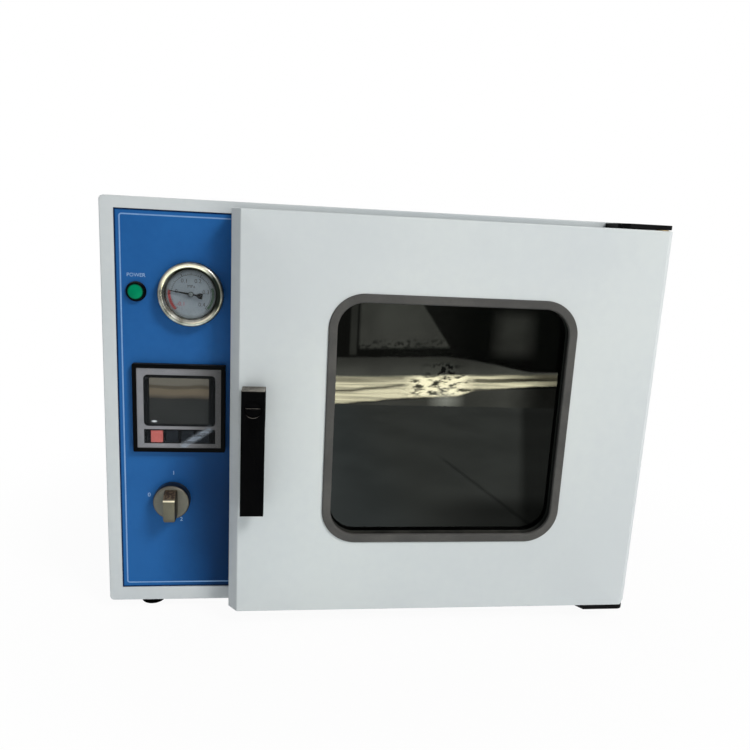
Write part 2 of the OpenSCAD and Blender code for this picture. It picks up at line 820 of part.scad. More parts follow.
module gauge_dial() {
    color("lightgray") placed() difference() {
        bar_y(gauge_x, gauge_z, dial_r, dial_y, dial_y + dial_t);
        bar_y(gauge_x, gauge_z, spindle_r + air_gap, dial_y - 1, dial_y + dial_t + 1);
    }
}

module gauge_glass() {
    color("lightcyan") placed()
        bar_y(gauge_x, gauge_z, case_r - case_wall, gauge_glass_y, gauge_glass_y + glass_t);
}

// Bent pressure tube with its threaded brass socket at the rear
module bourdon_tube() {
    tube_y = socket_front_y + 6;
    color("goldenrod") placed() {
        bar_y(gauge_x, gauge_z, socket_r, socket_front_y, socket_end_y);
        translate([gauge_x, case_back_y + 2, gauge_z]) rotate([-90, 0, 0]) cylinder(r = 9, h = 8, $fn = 6);
        translate([gauge_x, tube_y, gauge_z]) rotate([90, -90, 0])
            rotate_extrude(angle = 270) translate([bourdon_r, 0]) circle(r = bourdon_tube_r, $fn = 24);
        bar_z(gauge_x, tube_y, bourdon_tube_r, gauge_z - bourdon_r, gauge_z - socket_r + 1);
    }
}

// Tapered pointer with a flag tail, hub and spindle
module gauge_needle() {
    color("black") placed() {
        translate([gauge_x, needle_y, gauge_z]) rotate([0, -needle_rest, 0]) {
            upright(-needle_t, 0) polygon([[0, -1.2], [needle_len, -0.35], [needle_len, 0.35], [0, 1.2]]);
            upright(-needle_t, 0) polygon([[0, -0.9], [-6, -0.9], [-9, -3.2], [-13, -3.2], [-13, 3.2],
                                           [-9, 3.2], [-6, 0.9], [0, 0.9]]);
        }
        bar_y(gauge_x, gauge_z, 3, needle_y - 1.4, needle_y);
        bar_y(gauge_x, gauge_z, spindle_r, needle_y - 1, socket_front_y - air_gap);
    }
}

// ---------- Temperature controller ----------

module controller_housing() {
    half = ctl_body_side / 2;
    color("dimgray") placed() difference() {
        block([ctl_x - half, ctl_body_y, ctl_z - half], [ctl_x + half, panel_y1 + ctl_depth, ctl_z + half]);
        block([display_x - display_w / 2, ctl_body_y - 1, strip_z - strip_h / 2],
              [display_x + display_w / 2, ctl_body_y + key_pocket_d, strip_z + strip_h / 2]);
    }
}

// Square front frame with a narrow lip over the face plate
module controller_bezel() {
    color("black") placed() translate([ctl_x, 0, ctl_z]) {
        upright(ctl_front_y, ctl_body_y) difference() {
            round_rect(ctl_side, ctl_side, 1.5);
            square(ctl_face_side, center = true);
        }
        upright(ctl_body_y, panel_y0) difference() {
            round_rect(ctl_side, ctl_side, 1.5);
            square(ctl_body_side, center = true);
        }
    }
}

module controller_face() {
    color("darkgray") placed() upright(ctl_face_y, ctl_body_y) difference() {
        translate([ctl_x, ctl_z]) square(ctl_face_side, center = true);
        translate([display_x, display_z]) round_rect(display_w, display_h, display_r);
        translate([display_x, strip_z]) square([display_w, strip_h], center = true);
    }
}

module display_window() {
    color("black") placed() upright(ctl_face_y - 0.4, ctl_body_y)
        translate([display_x, display_z]) round_rect(display_w, display_h, display_r);
}

// Dark plate with a hole for each key
module key_strip() {
    color("black") placed() upright(ctl_face_y, ctl_face_y + strip_t) difference() {
        translate([display_x, strip_z]) square([display_w, strip_h], center = true);
        for (i = [0 : 3]) translate([key_x(i), strip_z])
            square([key_w + 2 * air_gap, key_h + 2 * air_gap], center = true);
    }
}

function key_x(i) = display_x + (i - 1.5) * key_pitch;

// Key cap with a retaining flange behind the strip and a stem into the housing's pocket
module key_cap(i) {
    flange_y = ctl_face_y + strip_t + air_gap;
    placed() translate([key_x(i), 0, strip_z]) {
        upright(ctl_face_y - key_travel - 0.2, flange_y) round_rect(key_w, key_h, 1);
        upright(flange_y, flange_y + 0.8)
            square([key_w + 2 * (air_gap + key_flange), key_h + 2 * (air_gap + key_flange)], center = true);
        bar_y(0, 0, 2, flange_y, key_stem_y);
    }
}

module key_set() { color("salmon") key_cap(0); }

module key_shift() { color("black") key_cap(1); }

module key_down() { color("black") key_cap(2); }

module key_up() { color("black") key_cap(3); }

// Two side clamps that pull the housing against the panel
module controller_clamps() {
    half = ctl_body_side / 2;
    color("dimgray") placed() for (s = [-1, 1]) translate([ctl_x, 0, ctl_z]) mirror([s < 0 ? 1 : 0, 0, 0]) {
        block([half, panel_y1, -clamp_w / 2], [half + clamp_t, panel_y1 + clamp_len, clamp_w / 2]);
        block([half + clamp_t, panel_y1, -clamp_w / 2], [half + clamp_t + 5, panel_y1 + 4, clamp_w / 2]);
    }
}

// ---------- Pilot lamp and switch ----------

module lamp_body() {
    color("black") placed() difference() {
        union() {
            turned_y(lamp_x, panel_y0, lamp_z)
                polygon([[0, 0], [lamp_r, 0], [lamp_r, 2], [lamp_r - 1, lamp_proud - 1],
                         [lens_r + 0.6, lamp_proud - 1], [0, lamp_proud - 1]]);
            bar_y(lamp_x, lamp_z, lamp_hole_r, panel_y0, panel_y1 + lamp_back);
            translate([lamp_x, panel_y1, lamp_z]) rotate([-90, 0, 0]) cylinder(r = lamp_r + 2, h = 4, $fn = 6);
        }
        bar_y(lamp_x, lamp_z, lens_r, panel_y0 - lamp_proud - 1, panel_y0 - 1);
    }
}

// Domed green lens
module lamp_lens() {
    dome_r = 16;
    color("green") placed() turned_y(lamp_x, panel_y0, lamp_z) {
        translate([0, 1]) square([lens_r, lamp_proud - 2]);
        intersection() {
            translate([0, lamp_proud - 1.4 - sqrt(dome_r * dome_r - lens_r * lens_r)]) circle(r = dome_r);
            translate([0, lamp_proud - 1.4]) square([lens_r, lens_r]);
        }
    }
}

module switch_body() {
    half = switch_side / 2;
    color("dimgray") placed() difference() {
        union() {
            block([switch_x - half, panel_y1, switch_z - half],
                  [switch_x + half, panel_y1 + switch_body_d, switch_z + half]);
            bar_y(switch_x, switch_z, switch_shaft_r + 1.8, panel_y0, panel_y1);
        }
        bar_y(switch_x, switch_z, switch_shaft_r + fit_gap, panel_y0 - 1, panel_y1 + switch_body_d - 6);
    }
}

module switch_shaft() {
    color("silver") placed() bar_y(switch_x, switch_z, switch_shaft_r, knob_face_y + 2,
                                   panel_y1 + switch_body_d - 6 - air_gap);
}

// Round knob with a sloped wing across its face
module switch_knob() {
    wing_up = 16;
    wing_low = 20;
    color("rosybrown") placed() translate([switch_x, 0, switch_z]) difference() {
        union() {
            turned_y(0, 0, 0) polygon([[0, -knob_back_y], [knob_r, -knob_back_y], [knob_r, -knob_face_y - 1.5],
                                       [knob_r - 1.5, -knob_face_y], [0, -knob_face_y]]);
            sideways(-wing_w / 2, wing_w / 2) polygon([
                [knob_face_y, wing_up], [wing_y + 3, wing_up - 5.5], [wing_y, wing_up - 8],
                [wing_y, -wing_low + 2], [wing_y + 2, -wing_low], [knob_face_y, -wing_low]]);
        }
        bar_y(0, 0, switch_shaft_r, knob_face_y + 2, knob_back_y + 1);
    }
}

// ---------- Vacuum line ----------

// Brass block that joins the chamber, the gauge and the two rear valves
module vacuum_manifold() {
    color("goldenrod") placed() difference() {
        block([manifold_x0, manifold_y0, line_z - manifold_h / 2],
              [manifold_x1, manifold_y0 + manifold_d, line_z + manifold_h / 2]);
        bar_x(port_y, line_z, pipe_bore, manifold_x0 + 8, manifold_x1 + 1);
        bar_y(gauge_x, line_z, pipe_bore, manifold_y0 - 1, port_y);
        for (x = [vacuum_x, vent_x]) bar_y(x, line_z, pipe_bore, port_y, manifold_y0 + manifold_d + 1);
    }
}

module pipe_ring() {
    difference() {
        circle(r = pipe_r);
        circle(r = pipe_bore);
    }
}

// Copper pipes: chamber to manifold, manifold to gauge, manifold to each rear valve
module vacuum_pipes() {
    gx = gauge_x;
    color("peru") placed() {
        translate([manifold_x1, port_y, line_z]) rotate([0, 90, 0])
            linear_extrude(chamber_left_x - chamber_wall - manifold_x1) pipe_ring();
        for (x = [vacuum_x, vent_x])
            translate([x, cab_d, line_z]) rotate([90, 0, 0])
                linear_extrude(cab_d - manifold_y0 - manifold_d) pipe_ring();
        translate([gx, manifold_y0, line_z]) rotate([90, 0, 0])
            linear_extrude(manifold_y0 - gauge_bend_y - bend_r) pipe_ring();
        translate([gx, gauge_bend_y + bend_r, line_z + bend_r]) rotate([0, -90, 0]) rotate([0, 0, 180])
            rotate_extrude(angle = 90) translate([bend_r, 0]) pipe_ring();
        if (gauge_rise > 2 * bend_r)
            translate([gx, gauge_bend_y, line_z + bend_r]) linear_extrude(gauge_rise - 2 * bend_r) pipe_ring();
        translate([gx, gauge_bend_y - bend_r, gauge_z - bend_r]) rotate([0, -90, 0])
            rotate_extrude(angle = 90) translate([bend_r, 0]) pipe_ring();
        translate([gx, gauge_bend_y - bend_r, gauge_z]) rotate([90, 0, 0])
            linear_extrude(gauge_bend_y - bend_r - socket_end_y) pipe_ring();
    }
}

// Small ball valve on the rear panel, its stem upwards
module valve_body(x) {
    placed() difference() {
        union() {
            translate([x, cab_d, line_z]) rotate([-90, 0, 0]) cylinder(r = valve_hex_r, h = 6, $fn = 6);
            bar_y(x, line_z, valve_r, cab_d + 6, cab_d + valve_len - 4);
            translate([x, cab_d + valve_len - 6, line_z]) rotate([-90, 0, 0]) cylinder(r = valve_r + 1, h = 6, $fn = 6);
            bar_z(x, cab_d + valve_len / 2 + 1, 6, line_z, line_z + valve_r + 4);
        }
        bar_y(x, line_z, pipe_bore, cab_d - 1, cab_d + valve_len + 1);
        bar_z(x, cab_d + valve_len / 2 + 1, stem_r + fit_gap, line_z + pipe_bore + 1, line_z + valve_r + 5);
    }
}

module vacuum_valve_body() { color("goldenrod") valve_body(vacuum_x); }

module vent_valve_body() { color("goldenrod") valve_body(vent_x); }

// Lever with a round eye on the stem; the closed lever lies across the valve
module valve_lever(x) {
    stem_y = cab_d + valve_len / 2 + 1;
    placed() {
        bar_z(x, stem_y, stem_r, line_z + pipe_bore + 1 + air_gap, lever_z + lever_t + 3);
        difference() {
            level(lever_z, lever_z + lever_t) {
                translate([x, stem_y]) circle(r = 7);
                translate([x - lever_len + lever_w / 2, stem_y - lever_w / 2]) square([lever_len - lever_w / 2, lever_w]);
                translate([x - lever_len + lever_w / 2, stem_y]) circle(r = lever_w / 2);
            }
            bar_z(x, stem_y, stem_r, lever_z - 1, lever_z + lever_t + 1);
        }
        translate([x, stem_y, lever_z + lever_t]) difference() {
            cylinder(r = 5, h = 3, $fn = 6);
            translate([0, 0, -1]) cylinder(r = stem_r, h = 5);
        }
    }
}

module vacuum_valve_lever() { color("firebrick") valve_lever(vacuum_x); }

module vent_valve_lever() { color("royalblue") valve_lever(vent_x); }

// Barbed hose nozzle screwed into the vacuum valve
module hose_nozzle() {
    barb = 1.2;
    neck = 3 + nozzle_len * 0.35;
    crest = neck + 1.5;
    second = (crest + nozzle_len) / 2;
    color("silver") placed() difference() {
        translate([vacuum_x, cab_d + valve_len, line_z]) rotate([-90, 0, 0]) rotate_extrude() {
            polygon([[0, -nozzle_thread], [pipe_bore, -nozzle_thread], [pipe_bore, 0], [0, 0]]);
            polygon([[0, 0], [valve_r - 1, 0], [valve_r - 1, 3], [nozzle_r, 3], [nozzle_r, neck],
                     [nozzle_r - barb, neck + 0.5], [nozzle_r - barb, crest], [nozzle_r, crest],
                     [nozzle_r - barb, second], [nozzle_r, second],
                     [nozzle_r - barb, nozzle_len], [0, nozzle_len]]);
        }
        bar_y(vacuum_x, line_z, nozzle_r - 2, cab_d + valve_len - nozzle_thread - 1, rear_end_y + 1);
    }
}

// ---------- Electrical parts ----------

// Appliance inlet with a flange on the rear panel and a blind socket
module power_inlet() {
    color("black") placed() translate([inlet_x, 0, inlet_z]) difference() {
        union() {
            upright(cab_d, cab_d + inlet_flange_t) round_rect(inlet_w, inlet_h, 3);
            upright(cab_d - inlet_depth, cab_d) square([inlet_w - 20 - 1, inlet_h - 6], center = true);
        }
        upright(cab_d - inlet_depth + 3, cab_d + inlet_flange_t + 1) round_rect(socket_w, socket_h, 2);
    }
}

module inlet_pins() {
    color("silver") placed() for (p = [[-7, -2], [0, 2], [7, -2]])
        block([inlet_x + p[0] - 1, cab_d - inlet_depth + 3, inlet_z + p[1] - 2.5],
              [inlet_x + p[0] + 1, cab_d - 4, inlet_z + p[1] + 2.5]);
}

// Screw terminal strip on the partition
module terminal_block() {
    poles = 6;
    pitch = terminal_len / poles;
    color("linen") placed() translate([bay_w, terminal_y, terminal_z]) difference() {
        block([-terminal_out, 0, 0], [0, terminal_len, terminal_h]);
        for (i = [0 : poles - 1])
            bar_z(-terminal_out / 2, (i + 0.5) * pitch, 3, terminal_h - 8, terminal_h + 1);
    }
}

// Solid state relay on a finned plate on the partition
module heater_relay() {
    fins = 6;
    pitch = relay_len / fins;
    color("dimgray") placed() translate([bay_w, relay_y, relay_z]) {
        block([-relay_plate_t, 0, 0], [0, relay_len, relay_h]);
        for (i = [0 : fins - 1])
            block([-relay_fin, (i + 0.4) * pitch, 0], [-relay_plate_t, (i + 0.6) * pitch, relay_body_z - 4]);
        block([-relay_out, relay_edge, relay_body_z], [-relay_plate_t, relay_len - relay_edge, relay_h - 4]);
    }
}

// ---------- Hinges and latch, cabinet side ----------

// Plan outline of a hinge plate: bevelled left end, round right front corner
module hinge_plate_outline() {
    x0 = hinge_plate_x0;
    x1 = hinge_plate_x0 + hinge_plate_w;
    y0 = door_front_y + 1;
    corner = 8;
    polygon([[x0, 0], [x0, y0 + 12], [x0 + 9, y0], [x1 - corner, y0], [x1 - corner, y0 + corner],
             [x1, y0 + corner], [x1, 0]]);
    translate([x1 - corner, y0 + corner]) circle(r = corner);
}

// Lower and upper angle brackets, each a plate with a leg on the cabinet's front
module hinge_brackets() {
    low = door_z0 - hinge_gap;
    high = door_z1 + hinge_gap;
    color("black") placed() {
        difference() {
            union() {
                level(low - hinge_plate_t, low) hinge_plate_outline();
                bracket_leg(low, low + bracket_leg_h);
            }
            bar_z(hinge_x, hinge_y, hinge_pin_r, low - hinge_plate_t - 1, low + 1);
        }
        difference() {
            union() {
                level(high, high + hinge_plate_t) hinge_plate_outline();
                bracket_leg(high - bracket_leg_h, high);
            }
            bar_z(hinge_x, hinge_y, hinge_pin_r, high - 1, high + hinge_plate_t + 1);
        }
    }
}

module bracket_leg(z0, z1) {
    block([hinge_plate_x0, -bracket_leg_t, z0], [hinge_plate_x0 + bracket_leg_w, 0, z1]);
}

// Pins pressed into the brackets, with a flat head on the outside
module hinge_pins() {
    low = door_z0 - hinge_gap;
    high = door_z1 + hinge_gap;
    color("silver") placed() {
        bar_z(hinge_x, hinge_y, hinge_pin_r, low - hinge_plate_t, low + hinge_gap + bearing_h - 2);
        bar_z(hinge_x, hinge_y, hinge_pin_r, high - hinge_gap - bearing_h + 2, high + hinge_plate_t);
    }
}

// Steel keeper plate behind the fascia: the cross bar turns behind its slot
module latch_keeper() {
    color("gray") placed() translate([latch_x, 0, latch_z]) upright(panel_y1, panel_y1 + keeper_t) difference() {
        square([keeper_w, keeper_h], center = true);
        square([latch_slot_w, latch_slot_h], center = true);
    }
}

// ---------- Door ----------

// Plan outline of the door, moved inwards by t from its outside
function door_outline(t) = let (
        side_y = bevel_y + t * tan(side_turn / 2),
        front_x = bevel_w + t * tan(front_turn / 2),
        front_y = door_front_y + t)
    [[door_x0 + t, door_back_y], [door_x0 + t, side_y], [door_x0 + front_x, front_y],
     [door_x1 - front_x, front_y], [door_x1 - t, side_y], [door_x1 - t, door_back_y]];

// Folded sheet tray with bevelled upright edges and a window opening
module door_skin() {
    color("whitesmoke") placed() difference() {
        level(door_z0, door_z1) polygon(door_outline(0));
        level(door_z0 + sheet_t, door_z1 - sheet_t) polygon(door_outline(sheet_t));
        block([door_x0 + sheet_t, door_back_y - 1, door_z0 + sheet_t],
              [door_x1 - sheet_t, door_back_y + 1, door_z1 - sheet_t]);
        translate([chamber_x, 0, window_z]) upright(door_front_y - 1, skin_inner_y + 1)
            round_rect(window_w + 2 * moulding_lap, window_h + 2 * moulding_lap, window_r + moulding_lap);
        bar_y(latch_x, latch_z, latch_shaft_r + fit_gap, door_front_y - 1, skin_inner_y + 1);
        for (z = [door_z0, door_z1]) bar_z(hinge_x, hinge_y, bearing_flange_r, z - sheet_t - 1, z + sheet_t + 1);
    }
}

// Inner sheet round the pressure glass, fitted between the skin's edges
module door_back_frame() {
    w = door_w - 2 * sheet_t;
    h = door_h - 2 * sheet_t;
    color("silver") placed() upright(door_back_y - sheet_t, door_back_y) difference() {
        translate([chamber_x, chamber_z]) square([w, h], center = true);
        translate([chamber_x, chamber_z]) round_rect(inner_glass_w + 2 * cutout_gap, inner_glass_h + 2 * cutout_gap,
                                                     inner_glass_r + cutout_gap);
        translate([latch_x, latch_z]) circle(r = latch_shaft_r + fit_gap);
    }
}

// Rubber moulding that grips the door's sheet in a groove, with a deep neck down to the outer glass
module window_moulding() {
    lip = moulding_proud;
    neck = sheet_t + window_recess;
    color("dimgray") placed() translate([chamber_x, 0, window_z])
        carried_ring(window_w, window_h, window_r, door_front_y)
            polygon([[0, -neck], [moulding_w, -neck], [moulding_w, -sheet_t], [moulding_lap, -sheet_t],
                     [moulding_lap, 0], [moulding_w, 0], [moulding_w, lip - 1], [moulding_w - 1, lip],
                     [1, lip], [0, lip - 1]]);
}

module outer_glass() {
    color("lightcyan") placed() translate([chamber_x, 0, window_z])
        upright(outer_glass_y0, outer_glass_y1) round_rect(outer_glass_w, outer_glass_h, window_r);
}

module inner_glass() {
    color("lightcyan") placed() translate([chamber_x, 0, chamber_z])
        upright(inner_glass_y0, door_back_y) round_rect(inner_glass_w, inner_glass_h, inner_glass_r);
}

// Frame that holds the two panes apart
module glass_spacer() {
    color("darkgray") placed() translate([chamber_x, 0, chamber_z]) {
        upright(outer_glass_y1, inner_glass_y0) difference() {
            round_rect(spacer_w, spacer_h, inner_glass_r);
            translate([0, window_rise])
                round_rect(window_w + 2 * moulding_w, window_h + 2 * moulding_w, window_r + moulding_w);
        }
        upright(inner_glass_y0, door_back_y - sheet_t) difference() {
            round_rect(spacer_w, spacer_h, inner_glass_r);
            round_rect(inner_glass_w + 2 * cutout_gap, inner_glass_h + 2 * cutout_gap, inner_glass_r + cutout_gap);
        }
    }
}

// Bearing blocks in the door's right corners, each with a round boss through the skin, and the latch bush
module hinge_bearings() {
    color("darkgoldenrod") placed() {
        for (s = [-1, 1]) difference() {
            z_in = s < 0 ? door_z0 + sheet_t : door_z1 - sheet_t - bearing_h;
            z_out = s < 0 ? door_z0 - hinge_gap + air_gap : door_z1 - sheet_t;
            z_top = s < 0 ? door_z0 + sheet_t : door_z1 + hinge_gap - air_gap;
            union() {
                level(z_in, z_in + bearing_h) intersection() {
                    polygon(door_outline(sheet_t));
                    translate([hinge_x - bearing_half_w, hinge_y - bearing_front])
                        square([door_w, door_back_y - sheet_t - hinge_y + bearing_front]);
                }
                bar_z(hinge_x, hinge_y, bearing_flange_r, z_out, z_top);
            }
            bar_z(hinge_x, hinge_y, hinge_pin_r + fit_gap, door_z0 - 2, door_z1 + 2);
        }
        difference() {
            bar_y(latch_x, latch_z, bush_r, skin_inner_y, door_back_y - sheet_t);
            bar_y(latch_x, latch_z, latch_shaft_r + fit_gap, door_front_y, door_back_y + 1);
        }
    }
}

// ---------- Handle and latch, door side ----------

// Lever: a deep boss at the latch axis and a long flat grip below it
module handle_lever() {
    corner = 2;
    color("black") placed() difference() {
        union() {
            translate([latch_x, 0, 0]) sideways(-handle_w / 2, handle_w / 2) handle_side(corner);
            bar_y(latch_x, latch_z, bush_r, boss_y, door_front_y - air_gap);
        }
        bar_y(latch_x, latch_z, recess_r, handle_front_y - 1, handle_front_y + recess_d);
        bar_y(latch_x, latch_z, latch_shaft_r, shaft_socket_y, door_front_y + 1);
    }
}

// Side view of the lever, Y to the rear and Z up
module handle_side(corner) {
    grip_y = handle_front_y + grip_t;
    boss_z = latch_z - 16;
    sweep = boss_y - grip_y;
    translate([handle_front_y + corner, handle_z0]) square([grip_t - 2 * corner, handle_len]);
    translate([handle_front_y, handle_z0 + corner]) square([grip_t, handle_len - 2 * corner]);
    for (y = [handle_front_y + corner, grip_y - corner]) translate([y, handle_z0 + corner]) circle(r = corner);
    translate([handle_front_y + corner, handle_z1 - corner]) circle(r = corner);
    translate([grip_y - corner, boss_z]) square([sweep, handle_z1 - boss_z]);
    translate([boss_y - corner, boss_z]) square([corner, handle_z1 - boss_z - corner]);
    translate([boss_y - corner, handle_z1 - corner]) circle(r = corner);
    difference() {
        translate([grip_y - corner, boss_z - sweep]) square([sweep + corner, sweep + corner]);
        translate([boss_y, boss_z - sweep]) circle(r = sweep);
    }
}

// Slotted plug in the lever's round recess
module handle_screw() {
    color("dimgray") placed() {
        bar_y(latch_x, latch_z, recess_r - air_gap, handle_front_y + recess_d - 1, handle_front_y + recess_d);
        block([latch_x - recess_r + 1.5, handle_front_y + 0.4, latch_z - 1],
              [latch_x + recess_r - 1.5, handle_front_y + recess_d - 1, latch_z + 1]);
    }
}

// Shaft through the door with a collar and the cross bar behind the keeper
module latch_shaft() {
    color("silver") placed() {
        bar_y(latch_x, latch_z, latch_shaft_r, shaft_socket_y, latch_bar_y + latch_bar_t);
        bar_y(latch_x, latch_z, latch_shaft_r + 1.8, door_back_y + air_gap, door_back_y + 2);
        block([latch_x - latch_bar_w / 2, latch_bar_y, latch_z - latch_bar_len / 2],
              [latch_x + latch_bar_w / 2, latch_bar_y + latch_bar_t, latch_z + latch_bar_len / 2]);
    }
}

outer_shell();
rear_panel();
panel_screws();
front_fascia();
control_panel();
bay_partition();
inner_chamber();
door_seal();
insulation();
heater_pads();
shelf_rails();
lower_shelf();
upper_shelf();
temperature_probe();
gauge_case();
gauge_bezel();
gauge_dial();
gauge_glass();
bourdon_tube();
controller_housing();
controller_bezel();
controller_face();
display_window();
key_strip();
controller_clamps();
lamp_body();
lamp_lens();
switch_body();
vacuum_manifold();
vacuum_pipes();
vacuum_valve_body();
vent_valve_body();
hose_nozzle();
power_inlet();
inlet_pins();
terminal_block();
heater_relay();
feet();
hinge_brackets();
hinge_pins();
latch_keeper();
gauge_needle();
switch_knob();
switch_shaft();
key_set();
key_shift();
key_down();
key_up();
vacuum_valve_lever();
vent_valve_lever();
door_skin();
door_back_frame();
window_moulding();
outer_glass();
inner_glass();
glass_spacer();
hinge_bearings();
handle_lever();
handle_screw();
latch_shaft();
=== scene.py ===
"""Dresses the bench vacuum drying oven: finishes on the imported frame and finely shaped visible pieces."""

import logging  # noqa: E402
import math  # noqa: E402
from collections.abc import Callable, Iterable, Sequence  # noqa: E402
from dataclasses import dataclass, field, replace  # noqa: E402
from enum import Enum  # noqa: E402
from functools import cache, partial, reduce  # noqa: E402

import bmesh  # noqa: E402
import bpy  # noqa: E402
import numpy as np  # noqa: E402
from mathutils import Euler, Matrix, Vector  # noqa: E402


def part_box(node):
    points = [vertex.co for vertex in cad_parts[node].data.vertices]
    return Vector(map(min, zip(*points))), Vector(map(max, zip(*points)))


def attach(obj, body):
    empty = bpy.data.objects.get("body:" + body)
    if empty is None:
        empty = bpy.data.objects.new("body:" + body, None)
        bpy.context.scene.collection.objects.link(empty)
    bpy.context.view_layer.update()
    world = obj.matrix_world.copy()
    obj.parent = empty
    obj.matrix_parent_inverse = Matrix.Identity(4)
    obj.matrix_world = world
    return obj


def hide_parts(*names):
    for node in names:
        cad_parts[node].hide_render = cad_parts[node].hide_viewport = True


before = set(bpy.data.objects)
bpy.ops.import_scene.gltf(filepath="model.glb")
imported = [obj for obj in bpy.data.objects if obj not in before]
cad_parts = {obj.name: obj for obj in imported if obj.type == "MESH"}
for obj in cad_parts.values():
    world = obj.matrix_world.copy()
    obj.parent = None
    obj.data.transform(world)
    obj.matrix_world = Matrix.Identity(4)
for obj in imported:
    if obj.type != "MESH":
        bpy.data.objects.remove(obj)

log = logging.getLogger("vacuum_oven")
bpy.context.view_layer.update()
MM = 0.001
MERGE_M = 2e-6

Colour = tuple[float, float, float]
Point = tuple[float, float, float]
Socket = bpy.types.NodeSocket


class Body(str, Enum):
    """The moving bodies of the frame that a piece can ride on."""

    CABINET = "cabinet"
    DOOR = "door"
    HANDLE = "handle"
    NEEDLE = "needle"
    SWITCH = "switch"
    SET_KEY = "set_key"
    SHIFT_KEY = "shift_key"
    DOWN_KEY = "down_key"
    UP_KEY = "up_key"


class Brushing(Enum):
    """Direction of the fine lines on brushed metal, as a stretch of the grain along X, Y and Z."""

    NONE = (1.0, 1.0, 1.0)
    ALONG_X = (0.03, 1.0, 1.0)
    ALONG_Y = (1.0, 0.03, 1.0)


# ---------- Sizes taken from the frame ----------


@dataclass(frozen=True)
class NodeBox:
    """Box round a CAD node in millimetres of the part frame.

    Attributes:
        low: Lowest corner.
        high: Highest corner.
    """

    low: np.ndarray
    high: np.ndarray

    @classmethod
    def of(cls, node: str) -> "NodeBox":
        """Returns the box of the named CAD node."""
        low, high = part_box(node)
        return cls(np.array(low) / MM, np.array(high) / MM)

    @property
    def centre(self) -> np.ndarray:
        """Middle of the box."""
        return (self.low + self.high) / 2

    @property
    def size(self) -> np.ndarray:
        """Side lengths of the box."""
        return self.high - self.low


# ---------- Surfaces ----------


@dataclass
class Surface:
    """Points in millimetres and the faces between them.

    Attributes:
        points: Array of shape (count, 3).
        faces: Corner numbers of each face.
    """

    points: np.ndarray
    faces: list[tuple[int, ...]]

    def joined(self, *others: "Surface") -> "Surface":
        """Returns this surface and the others as one, without merging their points."""
        points, faces = [self.points], list(self.faces)
        start = len(self.points)
        for other in others:
            points.append(other.points)
            faces += [tuple(c + start for c in face) for face in other.faces]
            start += len(other.points)
        return Surface(np.concatenate(points), faces)


def grid(points: np.ndarray, wrap_rows: bool = False, wrap_cols: bool = True,
         cap_first: bool = False, cap_last: bool = False) -> Surface:
    """Faces between the neighbours of a grid of points.

    The face at row i and column j has the corners (i, j), (i, j+1), (i+1, j+1) and (i+1, j).

    Args:
        points: Array of shape (rows, columns, 3).
        wrap_rows: Joins the last row to the first.
        wrap_cols: Joins the last column to the first.
        cap_first: Closes the first row with one flat face.
        cap_last: Closes the last row with one flat face.

    Returns:
        The surface.
    """
    rows, cols = points.shape[:2]
    number = np.arange(rows * cols).reshape(rows, cols)
    faces = []
    if cap_first:
        faces.append(tuple(number[0][::-1].tolist()))
    if cap_last:
        faces.append(tuple(number[-1].tolist()))
    if wrap_cols:
        number = np.concatenate([number, number[:, :1]], axis=1)
    if wrap_rows:
        number = np.concatenate([number, number[:1]], axis=0)
    quads = np.stack([number[:-1, :-1], number[:-1, 1:], number[1:, 1:], number[1:, :-1]], axis=-1)
    return Surface(points.reshape(-1, 3), faces + [tuple(q) for q in quads.reshape(-1, 4).tolist()])


def rounded_rectangle(width: float, height: float, radius: float, arc: int = 10) -> np.ndarray:
    """Outline of a rectangle with round corners, centred, anticlockwise.

    Each corner is its own centre plus radius times (cos a, sin a), a over a quarter turn.

    Args:
        width: Full width.
        height: Full height.
        radius: Corner radius.
        arc: Steps in each corner.

    Returns:
        Array of shape (4 * (arc + 1), 2).
    """
    quarter = np.linspace(0, math.pi / 2, arc + 1)
    angles = (quarter[None, :] + np.arange(4)[:, None] * math.pi / 2).ravel()
    sx = np.repeat([1, -1, -1, 1], arc + 1)
    sz = np.repeat([1, 1, -1, -1], arc + 1)
    x = sx * (width / 2 - radius) + radius * np.cos(angles)
    z = sz * (height / 2 - radius) + radius * np.sin(angles)
    return np.stack([x, z], axis=1)


@dataclass(frozen=True)
class Ring:
    """One rounded rectangle of a loft; it stands in the front view.

    Attributes:
        width: Full width.
        height: Full height.
        radius: Corner radius.
        y: Where it stands.
        shift: How far its middle lies from the loft's, along X and Z.
    """

    width: float
    height: float
    radius: float
    y: float
    shift: tuple[float, float] = (0.0, 0.0)

    def points(self, centre: Sequence[float], arc: int) -> np.ndarray:
        """Returns its outline round centre plus shift, as an array of shape (4 * (arc + 1), 3)."""
        flat = rounded_rectangle(self.width, self.height, max(self.radius, 0.01), arc)
        flat = flat + np.asarray(centre) + self.shift
        return np.stack([flat[:, 0], np.full(len(flat), self.y), flat[:, 1]], axis=1)


def framed(rings: Sequence[Ring], centre: Sequence[float], arc: int = 10, closed: bool = True,
           caps: tuple[bool, bool] = (False, False)) -> Surface:
    """Loft through rounded rectangles, one after the other.

    Args:
        rings: The rectangles in order.
        centre: X and Z of the loft's middle.
        arc: Steps in each corner.
        closed: Joins the last rectangle to the first, for a frame with a hole.
        caps: Whether the first and the last rectangle are closed with a flat face.

    Returns:
        The surface.
    """
    points = np.array([ring.points(centre, arc) for ring in rings])
    return grid(points, wrap_rows=closed, cap_first=caps[0], cap_last=caps[1])


